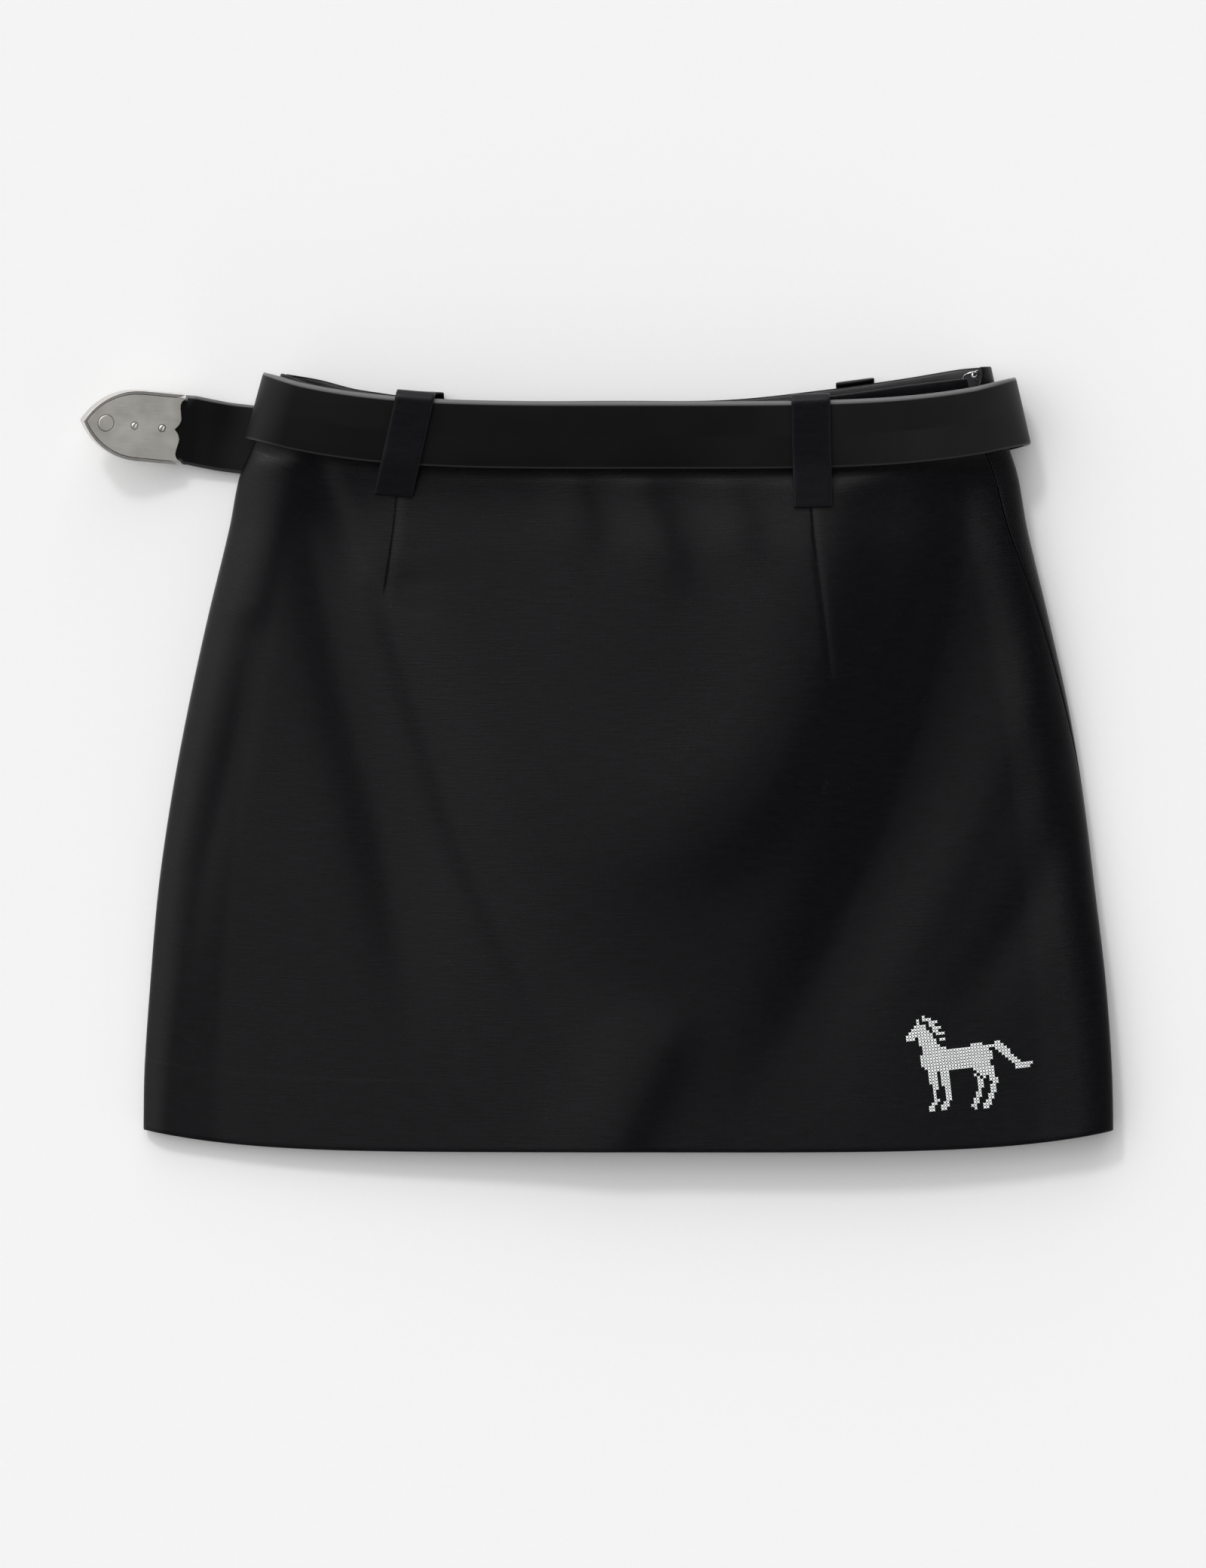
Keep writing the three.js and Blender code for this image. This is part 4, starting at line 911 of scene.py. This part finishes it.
BELT_LEFT, BELT_RIGHT, BEND_LEFT, BEND_RIGHT = -187.9, 197.4, 18, 20
STRAP_GAP = 0.35
BELT_BACK_Z = LOOP_THICK + STRAP_GAP + BELT_THICK / 2
BELT_DOUBLE_Z = BELT_BACK_Z + BELT_THICK + STRAP_GAP
BELT_END_X = -139
BACK_RUN = [
    (150, 175, BELT_BACK_Z),
    (100, 172, BELT_BACK_Z),
    (0, 168.5, BELT_BACK_Z),
    (-100, 166.5, BELT_BACK_Z),
    (-150, 166.8, BELT_BACK_Z),
    (-196, 170.6, BELT_BACK_Z + 0.6),
    (-213, 173.2, BELT_BACK_Z + 2.6),
]
TIP_START = np.array([-226, 175.2, BELT_BACK_Z + 5.6])
TIP_HEADING, TIP_CLIMB, TIP_ROLL = math.radians(4.7), math.radians(19), math.radians(6)
TIP_LEATHER = 31.8
# How many places the strap's middle has in each part.
HIDDEN_PLACES, BEND_PLACES, FRONT_PLACES, BACK_PLACES = 8, 37, 120, 110
# Inside the metal end: millimetres along it, and the share of the leather's width that is left there.
TIP_TAPER = [(-0.9, 1), (12, 1), (23.5, 0.985), (32, 0.8), (40, 0.5), (46, 0.2)]


def tip_frame():
    """The directions of the metal end: along it to its point, across it, and out of its upper face."""
    along = np.array([
        -math.cos(TIP_HEADING) * math.cos(TIP_CLIMB),
        math.sin(TIP_HEADING) * math.cos(TIP_CLIMB),
        math.sin(TIP_CLIMB),
    ])
    level = np.array([math.sin(TIP_HEADING), math.cos(TIP_HEADING), 0])
    rolled = level * math.cos(TIP_ROLL) + np.array([0, 0, math.sin(TIP_ROLL)])
    up = unit(np.cross(rolled, along))
    return along, unit(np.cross(along, up)), up


def through(points, count):
    """Even places on a smooth curve through points."""
    return even(spline(points, 24), count)


def across_of(slope, tilt):
    flat = unit([-slope, 1, 0])
    return flat * math.cos(tilt) + np.array([0, 0, math.sin(tilt)])


def belt_stations():
    """The strap's middle, the direction across it and its width, from its hidden end to its metal end."""
    rows = []

    def add(at, across, width=BELT_WIDTH):
        rows.append(np.concatenate([at, across, [width]]))

    def bend(x, y, slope, side, reach, high, low, start, end):
        flat = unit([side, side * slope, 0])
        for degrees in np.linspace(start, end, BEND_PLACES):
            angle = math.radians(degrees)
            at = np.array([x, y, (high + low) / 2 + (high - low) / 2 * math.sin(angle)])
            tilt = BELT_TILT * float(smooth(-60, 90, degrees))
            add(at + flat * reach * math.cos(angle), across_of(slope, tilt))

    left_x, right_x = BELT_LEFT + BEND_LEFT, BELT_RIGHT - BEND_RIGHT
    left_slope = front_run_slope(BELT_LEFT + BEND_LEFT / 3)
    right_slope = front_run_slope(BELT_RIGHT - BEND_RIGHT / 3)
    end_y = front_run_y(left_x) + left_slope * (BELT_END_X - left_x)
    for t in np.linspace(0, 1, HIDDEN_PLACES, endpoint=False):
        x = BELT_END_X + (left_x - BELT_END_X) * t
        y = end_y + (front_run_y(left_x) - end_y) * t
        add(np.array([x, y, BELT_DOUBLE_Z]), across_of(left_slope, 0))
    left_y, left_z = front_run_y(left_x), front_run_z(left_x)
    bend(left_x, left_y, left_slope, -1, BEND_LEFT, left_z, BELT_DOUBLE_Z, -90, 90)
    for x in np.linspace(left_x, right_x, FRONT_PLACES)[1:-1]:
        add(np.array([x, front_run_y(x), front_run_z(x)]), across_of(front_run_slope(x), BELT_TILT))
    right_y, right_z = front_run_y(right_x), front_run_z(right_x)
    bend(right_x, right_y, right_slope, 1, BEND_RIGHT, right_z, BELT_BACK_Z, 90, -90)
    along, across, _ = tip_frame()
    into_tip = [TIP_START - along * 6, TIP_START - along * 1.6]
    under = through([(right_x, right_y, BELT_BACK_Z), *BACK_RUN, *into_tip], BACK_PLACES)
    for at, way in zip(under[1:], headings(under)[1:]):
        add(at, across_of(way[1] / way[0], TIP_ROLL * float(smooth(-190, -226, at[0]))))
    for on, part in TIP_TAPER:
        add(TIP_START + along * on, across, TIP_LEATHER * part)
    return np.array(rows)


# The upper half of one side of a strip's section, from its middle out to its edge: share of the half width,
# and height. The strap's dips in between its two layers.
STRAP_PROFILE = [
    (0.0, 1.9), (0.5, 1.9), (0.9, 1.88), (0.965, 1.76), (0.99, 1.5),
    (1.0, 1.1), (0.995, 0.6), (0.982, 0.3), (0.966, 0.12),
]
LOOP_PROFILE = [(0.0, 0.75), (0.4, 0.76), (0.8, 0.75), (0.93, 0.7), (0.98, 0.5), (1.0, 0.2)]


def tube(name, at, across, half_widths, profile):
    """A closed strip swept through stations. Its profile is the upper half of one side."""
    right = profile + [(a, -b) for a, b in reversed(profile)]
    ring = np.array(right + [(-a, b) for a, b in reversed(right)][1:-1])
    out, over = unit(np.cross(headings(at), across)), unit(across)
    vertices = (
        at[:, None]
        + over[:, None] * (ring[None, :, :1] * half_widths[:, None, None])
        + out[:, None] * ring[None, :, 1:2]
    )
    index = np.arange(len(at) * len(ring)).reshape(len(at), len(ring))
    index = np.concatenate([index, index[:, :1]], 1)
    closed = np.concatenate([ring, ring[:1]]) * [np.max(half_widths), 1]
    uv = np.stack(np.broadcast_arrays(run_along(closed)[None, :], run_along(at)[:, None]), -1)

    def corners(table):
        """The four corners of each face of the strip, out of a table of stations and ring places."""
        return np.stack([table[:-1, :-1], table[1:, :-1], table[1:, 1:], table[:-1, 1:]], 2)

    faces = corners(index).reshape(-1, 4).tolist()
    ends = [index[0, :-1].tolist(), index[-1, -2::-1].tolist()]
    uv = np.concatenate([corners(uv).reshape(-1, 2), uv[0, :-1], uv[-1, -2::-1]])
    thing = mesh_object(name, vertices.reshape(-1, 3), faces + ends, uv)
    repair_normals(thing)
    return thing


def repair_normals(thing):
    mesh = bmesh.new()
    mesh.from_mesh(thing.data)
    bmesh.ops.recalc_face_normals(mesh, faces=mesh.faces)
    mesh.to_mesh(thing.data)
    mesh.free()


stations = belt_stations()
strap = tube("belt_leather", stations[:, :3], stations[:, 3:6], stations[:, 6] / 2, STRAP_PROFILE)
dress(strap, LEATHER, "belt_leather", "belt_strap")


def on_line(bottom, top, y):
    """The x of the line from one place on the page to another, at a height on the page."""
    return bottom[0] + (top[0] - bottom[0]) * (y - bottom[1]) / (top[1] - bottom[1])


def loop_piece(name, node, bottom, top, slope, path, face, floor=0.0):
    """A cloth strip along a path of y and height, lying across as face says and never below the floor."""
    path = np.array(path, float)
    at = through(np.stack([on_line(bottom, top, path[:, 0]), path[:, 0], path[:, 1]], -1), 90)
    at[:, 2] = np.maximum(at[:, 2], floor)
    side = LOOP_WIDTH / 2
    right = face(at[:, 0] + side, at[:, 1] + side * slope, at[:, 1])
    left = face(at[:, 0] - side, at[:, 1] - side * slope, at[:, 1])
    rise = (right - left) / (2 * side)
    across = unit(np.stack([np.ones(len(at)), np.full(len(at), slope), rise], -1))
    thing = tube(name, at, across, np.full(len(at), side), LOOP_PROFILE)
    return dress(thing, LOOP_CLOTH_PAINTED_LIGHTER, "suiting", node)


def front_loop(name, node, bottom, top, slope):
    """A loop from the front, over the strap and down behind its upper rim."""
    half = LOOP_THICK / 2
    rest = 0.4 + half
    reach = BELT_WIDTH / 2 * math.cos(BELT_TILT)
    rim_y, low_y = front_run_y(top[0]) + reach, front_run_y(bottom[0]) - reach

    def cloth(y):
        return float(crown_z(np.array([on_line(bottom, top, y)]), np.array([y]))[0])

    def over(y):
        return float(strap_face_z(on_line(bottom, top, y), y, 1))

    path = [
        (bottom[1], cloth(bottom[1]) + rest),
        ((2 * bottom[1] + low_y) / 3, (2 * cloth(bottom[1]) + over(low_y)) / 3 + rest + 0.3),
        (low_y + 1, over(low_y + 1) + rest + 0.6),
        (low_y + 12, over(low_y + 12) + rest + 0.2),
        (rim_y - 5, over(rim_y - 5) + rest + 0.1),
        (rim_y + 0.2, over(rim_y) + rest - 0.2),
        (top[1] - half, over(rim_y) - 1.6),
        (top[1] - half, cloth(rim_y) + 2),
    ]

    def face(x, y, own_y):
        t = smooth(bottom[1], low_y, own_y)
        return crown_z(x, y) * (1 - t) + strap_face_z(x, y, 1) * t

    return loop_piece(name, node, bottom, top, slope, path, face)


def back_loop(name, node, bottom, top, slope):
    """A loop from the back, under the strap and up past the back's upper edge."""
    half = LOOP_THICK / 2
    waist = float(column(WAIST, 2, top[0]))

    def lifted(y):
        return float(back_z(bottom[0], y))

    path = [
        (bottom[1], lifted(bottom[1]) - 0.5 - half),
        (bottom[1] + 3, lifted(bottom[1] + 3) - 0.9 - half),
        (bottom[1] + 9, half + 0.35),
        (bottom[1] + 15, half),
        (top[1] - 12, half),
        (top[1] - 5.5, half),
        (top[1] - half - 0.4, 2.6),
        (top[1] - half, 4.6),
        (max(waist + half + 0.5, top[1] - half - 0.5), float(back_z(top[0], waist)) + CLOTH),
    ]
    return loop_piece(name, node, bottom, top, slope, path, lambda x, y, own_y: 0 * x, half)


loops = [
    front_loop("loop_cloth_front_left", "loop_front_left", (-118.9, 141.4), (-107, 193.4), -0.09),
    front_loop("loop_cloth_front_right", "loop_front_right", (92.3, 135.6), (90.8, 192), 0.04),
    back_loop("loop_cloth_back_left", "loop_back_left", (-101, 137), (-103.5, 194.6), -0.04),
    back_loop("loop_cloth_back_right", "loop_back_right", (119, 139), (114, 200.4), 0.13),
]


def raw_object(name, mesh):
    """The object of an edited mesh, which baked() turns into a piece."""
    data = bpy.data.meshes.new(name)
    mesh.to_mesh(data)
    mesh.free()
    return in_scene(name + "_raw", data)


def softened(name, node, width, segments=2):
    """A copy of a rigid node with its doubles merged and its edges rounded."""
    mesh = bmesh.new()
    mesh.from_mesh(NODES[node].data)
    bmesh.ops.remove_doubles(mesh, verts=mesh.verts, dist=1e-6)
    bmesh.ops.dissolve_limit(mesh, angle_limit=math.radians(3), verts=mesh.verts, edges=mesh.edges)
    rough = raw_object(name, mesh)
    edges = rough.modifiers.new("Rounded edges", "BEVEL")
    edges.width = width / 1000
    edges.segments = segments
    edges.limit_method = "ANGLE"
    edges.angle_limit = math.radians(40)
    return baked(rough, name)


def baked(rough, name):
    """The evaluated mesh of an object as a plain object, with the old one removed."""
    bpy.context.view_layer.update()
    done = bpy.data.meshes.new_from_object(rough.evaluated_get(bpy.context.evaluated_depsgraph_get()))
    done.name = name
    bpy.data.objects.remove(rough)
    return in_scene(name, done)


cap = dress(softened("tip_cap_metal", "tip_outer_cap", 0.35, 3), BRIGHT, "belt_metal", "tip_outer_cap")
plate = dress(softened("tip_plate_metal", "tip_inner_plate", 0.25), PLATE, "belt_metal", "tip_inner_plate")
stud = dress(softened("tip_stud_metal", "tip_stud", 0.1), PLATE, "belt_metal", "tip_stud")
cap.data.shade_flat()
plate.data.shade_flat()
stud.data.shade_smooth()

# In metres: a screw head's radius, the shares of it above and below its middle, how far it stands out, and
# the slot across it.
SCREW_RADIUS, DOME_SHARE, UNDER_SHARE, SCREW_RISE = 0.0017, 0.42, 0.35, 0.00025
SLOT_WIDE, SLOT_LONG, SLOT_HIGH, SLOT_Z = 0.0005, 0.005, 0.0008, 0.00065
SLOT_TURN = math.radians(25)


def screw_head(name, node):
    """A low domed head with a slot across it, on the screw's own place in the plate."""
    along, across, up = (Vector(v) for v in tip_frame())
    low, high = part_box(node)
    middle = (low + high) / 2 + up * SCREW_RISE
    mesh = bmesh.new()
    bmesh.ops.create_uvsphere(mesh, u_segments=28, v_segments=14, radius=SCREW_RADIUS)
    for vertex in mesh.verts:
        vertex.co.z *= DOME_SHARE if vertex.co.z > 0 else UNDER_SHARE
    rough = raw_object(name, mesh)
    blade = bmesh.new()
    bmesh.ops.create_cube(blade, size=1)
    for vertex in blade.verts:
        vertex.co.x *= SLOT_WIDE
        vertex.co.y *= SLOT_LONG
        vertex.co.z = vertex.co.z * SLOT_HIGH + SLOT_Z
    cutter = raw_object("slot", blade)
    cut = rough.modifiers.new("Slot", "BOOLEAN")
    cut.object = cutter
    cut.operation = "DIFFERENCE"
    thing = baked(rough, name)
    bpy.data.objects.remove(cutter)
    turned = Matrix((along, across, up)).transposed().to_4x4()
    spin = Matrix.Rotation(SLOT_TURN, 4, "Z")
    thing.data.transform(Matrix.Translation(middle) @ turned @ spin)
    thing.data.shade_smooth()
    return dress(thing, BRIGHT, "belt_metal", node)


screw_head("tip_screw_head_1", "tip_screw_1")
screw_head("tip_screw_head_2", "tip_screw_2")


HOOK_WIRE = 0.45
HOOK_LINE = [
    (165.6, 195.6, 29.8), (167.6, 198.8, 29.5), (168.6, 201.4, 30.6), (169.6, 202.2, 32.6),
    (171.2, 202.9, 33.8), (173.4, 203.3, 33.2), (175, 202.8, 30.8), (175.1, 201.8, 28),
    (174.2, 201.2, 25.8), (172.8, 200.8, 25.6),
]
EYE_LINE = [
    (178.9, 204.8, 23.3), (177.2, 204.6, 24.8), (175, 204.1, 26.4), (173.2, 203.2, 27.6),
    (172.7, 201.8, 28), (173.4, 200.3, 27.9), (175.3, 199.3, 26.9), (177.4, 198.8, 26),
    (178.8, 198.7, 25.2),
]


def wire_piece(name, node, line):
    """A round wire along a line. The direction across it is carried along, so that it doesn't twist."""
    at = through(line, 110)
    ways = headings(at)
    side = unit(np.cross(ways[0], [0.3, 0.2, 1]))
    sides = []
    for way in ways:
        side = unit(side - way * np.dot(side, way))
        sides.append(side)
    sides = np.array(sides)
    angles = np.linspace(0, math.pi / 2, 5)
    profile = [(math.sin(a), HOOK_WIRE * math.cos(a)) for a in angles[:-1]]
    thing = tube(name, at, sides, np.full(len(at), HOOK_WIRE), profile)
    return dress(thing, WIRE, "wire", node)


wire_piece("hook_wire", "hook", HOOK_LINE)
wire_piece("eye_wire", "eye", EYE_LINE)


# Stitches: from one to the next, a thread's length and thickness, and its height over the front.
STITCH_PITCH, STITCH_LENGTH, STITCH_THICKNESS, STITCH_LIFT = 1.52, 2.15, 0.6, 0.25
MOTIF_TILT = math.radians(6.5)
MOTIF_CORNER = (141.5, -171.0)
MOTIF_COLUMNS, MOTIF_ROWS = 44, 33

# The motif on its stitch grid: tapered rounds from one place to another, each with its radius at both ends.
HORSE = [
    ("chest", (9.8, 17.6), 4.2, (17.5, 16.9), 3.5),
    ("barrel", (17.5, 16.9), 3.5, (25.0, 17.0), 4.3),
    ("neck", (9.5, 20.5), 3.2, (7.2, 27.0), 2.0),
    ("head", (6.6, 28.0), 1.9, (2.6, 25.3), 1.0),
    ("ear", (6.0, 29.5), 0.9, (5.6, 31.2), 0.6),
    ("near foreleg", (9.0, 14.0), 1.9, (9.2, 9.5), 1.1),
    ("near fore shin", (9.2, 9.5), 1.0, (9.0, 5.1), 0.8),
    ("near fore hoof", (9.6, 4.4), 0.7, (7.4, 1.6), 1.05),
    ("far foreleg", (13.0, 13.6), 1.9, (13.1, 9.0), 1.1),
    ("far fore shin", (13.1, 9.0), 1.0, (13.2, 4.8), 0.8),
    ("far fore hoof", (13.9, 4.0), 0.7, (11.4, 1.4), 1.05),
    ("thigh", (26.3, 14.6), 2.7, (26.0, 11.4), 1.7),
    ("near hind leg", (23.4, 12.2), 1.1, (24.9, 8.6), 1.1),
    ("near hind shin", (24.9, 8.6), 1.0, (23.1, 3.6), 0.8),
    ("near hind hoof", (23.1, 3.6), 0.8, (21.6, 0.9), 1.05),
    ("far hind leg", (27.8, 12.5), 1.5, (29.2, 8.2), 1.0),
    ("far hind shin", (29.2, 8.2), 1.0, (28.2, 4.4), 0.8),
    ("far hind hoof", (28.0, 4.2), 0.8, (25.6, 0.6), 1.05),
    ("tail root", (29.2, 20.0), 0.8, (31.6, 20.0), 1.1),
    ("tail", (31.6, 20.0), 1.1, (36.3, 14.9), 1.2),
    ("tail end", (36.3, 14.9), 1.2, (38.0, 12.4), 1.3),
    ("tail flick", (38.0, 12.4), 1.2, (42.2, 12.8), 0.6),
    ("forelock", (8.2, 31.2), 0.9, (9.6, 31.0), 0.9),
    ("first tuft", (10.4, 29.6), 1.2, (11.6, 30.0), 0.7),
    ("second tuft", (11.4, 27.8), 1.1, (12.8, 28.2), 0.7),
    ("third tuft", (12.4, 25.9), 1.1, (13.8, 26.1), 0.7),
    ("fourth tuft", (13.2, 24.1), 0.9, (14.2, 24.1), 0.7),
]
# Cells left open in it: along the mane, between the forelegs and at the flank.
OPEN_CELLS = [
    (8, 30), (9, 29), (10, 28), (10, 27), (11, 26), (12, 25), (12, 24),
    (11, 13), (11, 11), (11, 9), (22, 13), (23, 12), (24, 11), (25, 10),
]


def motif_stitches():
    """The stitch places that the horse covers, as row and column numbers."""
    columns, rows = np.meshgrid(np.arange(MOTIF_COLUMNS), np.arange(MOTIF_ROWS), indexing="xy")
    filled = np.zeros(columns.shape, bool)
    for _, (ax, ay), ra, (bx, by), rb in HORSE:
        length = math.hypot(bx - ax, by - ay)
        t = np.clip(((columns - ax) * (bx - ax) + (rows - ay) * (by - ay)) / length**2, 0, 1)
        away = np.hypot(columns - ax - (bx - ax) * t, rows - ay - (by - ay) * t)
        filled |= away <= ra + (rb - ra) * t
    for column_number, row_number in OPEN_CELLS:
        filled[row_number, column_number] = False
    return np.argwhere(filled)


def place_on_front(x, y):
    """Heights and outward directions of the front at places on the page."""
    step = 0.5
    z = front_z(x, y)
    slope_x = (front_z(x + step, y) - front_z(x - step, y)) / (2 * step)
    slope_y = (front_z(x, y + step) - front_z(x, y - step)) / (2 * step)
    return z, unit(np.stack([-slope_x, -slope_y, np.ones_like(z)], -1))


def stitch_tree():
    """Two round threads cross on each point, half the crossing each way from its "along". Its "out" is up."""
    tree = bpy.data.node_groups.new("Cross stitches", "GeometryNodeTree")
    for label in ("Geometry", "Length", "Thickness", "Crossing", "Material"):
        kind = label if label in ("Geometry", "Material") else "Float"
        tree.interface.new_socket(label, in_out="INPUT", socket_type="NodeSocket" + kind)
    tree.interface.new_socket("Geometry", in_out="OUTPUT", socket_type="NodeSocketGeometry")
    w = Wiring(tree)
    into, out = tree.nodes.new("NodeGroupInput").outputs, tree.nodes.new("NodeGroupOutput")

    def made(kind, settings=None, **values):
        return w.node(kind, settings, **values).outputs[0]

    thick = into["Thickness"]
    ball = made("GeometryNodeMeshUVSphere", Segments=8, Rings=5, Radius=0.5)
    size = made("ShaderNodeCombineXYZ", X=into["Length"], Y=thick, Z=thick)
    over = made("ShaderNodeCombineXYZ", Z=w.times(thick, 0.35))
    both = tree.nodes.new("GeometryNodeJoinGeometry")
    for sign, lift in ((1, (0, 0, 0)), (-1, over)):
        turn = made("ShaderNodeCombineXYZ", Z=w.times(into["Crossing"], 0.5 * sign))
        thread = made("GeometryNodeTransform", Geometry=ball, Scale=size, Rotation=turn, Translation=lift)
        tree.links.new(thread, both.inputs[0])
    vector = {"data_type": "FLOAT_VECTOR"}
    along = made("GeometryNodeInputNamedAttribute", vector, Name="along")
    outwards = made("GeometryNodeInputNamedAttribute", vector, Name="out")
    lie = made("FunctionNodeAlignRotationToVector", {"axis": "Z"}, Vector=outwards)
    about = {"axis": "X", "pivot_axis": "Z"}
    turned = made("FunctionNodeAlignRotationToVector", about, Rotation=lie, Vector=along)
    points = made("GeometryNodeMeshToPoints", Mesh=into["Geometry"])
    placed = made("GeometryNodeInstanceOnPoints", Points=points, Instance=both.outputs[0], Rotation=turned)
    real = made("GeometryNodeRealizeInstances", Geometry=placed)
    soft = made("GeometryNodeSetShadeSmooth", Geometry=real)
    done = made("GeometryNodeSetMaterial", Geometry=soft, Material=into["Material"])
    tree.links.new(done, out.inputs[0])
    return tree


STITCHES = stitch_tree()


def set_input(modifier, label, value):
    for item in modifier.node_group.interface.items_tree:
        if item.item_type == "SOCKET" and item.in_out == "INPUT" and item.name == label:
            modifier[item.identifier] = value


def stitched(name, places, alongs, outs, length, thickness, crossing, material):
    """Threads at places in millimetres, as one plain mesh."""
    rough = mesh_object(name + "_places", places, [])
    for label, values in (("along", alongs), ("out", outs)):
        kept = rough.data.attributes.new(label, "FLOAT_VECTOR", "POINT")
        kept.data.foreach_set("vector", np.asarray(values, float).ravel())
    modifier = rough.modifiers.new("Stitches", "NODES")
    modifier.node_group = STITCHES
    set_input(modifier, "Length", length / 1000)
    set_input(modifier, "Thickness", thickness / 1000)
    set_input(modifier, "Crossing", crossing)
    set_input(modifier, "Material", material)
    return baked(rough, name)


def embroidered_horse():
    cells = motif_stitches()
    along = np.array([math.cos(MOTIF_TILT), math.sin(MOTIF_TILT)])
    up = np.array([-along[1], along[0]])
    page = np.array(MOTIF_CORNER) + (cells[:, 1:2] * along + cells[:, :1] * up) * STITCH_PITCH
    z, out = place_on_front(page[:, 0], page[:, 1])
    ways = np.broadcast_to([along[0], along[1], 0.0], out.shape)
    ways = unit(ways - out * np.sum(ways * out, -1, keepdims=True))
    places = np.stack([page[:, 0], page[:, 1], z], -1) + out * STITCH_LIFT
    thing = stitched(
        "horse_embroidery", places, ways, out, STITCH_LENGTH, STITCH_THICKNESS, math.pi / 2, SILVER
    )
    return dress(thing, SILVER, "suiting")


horse = embroidered_horse()
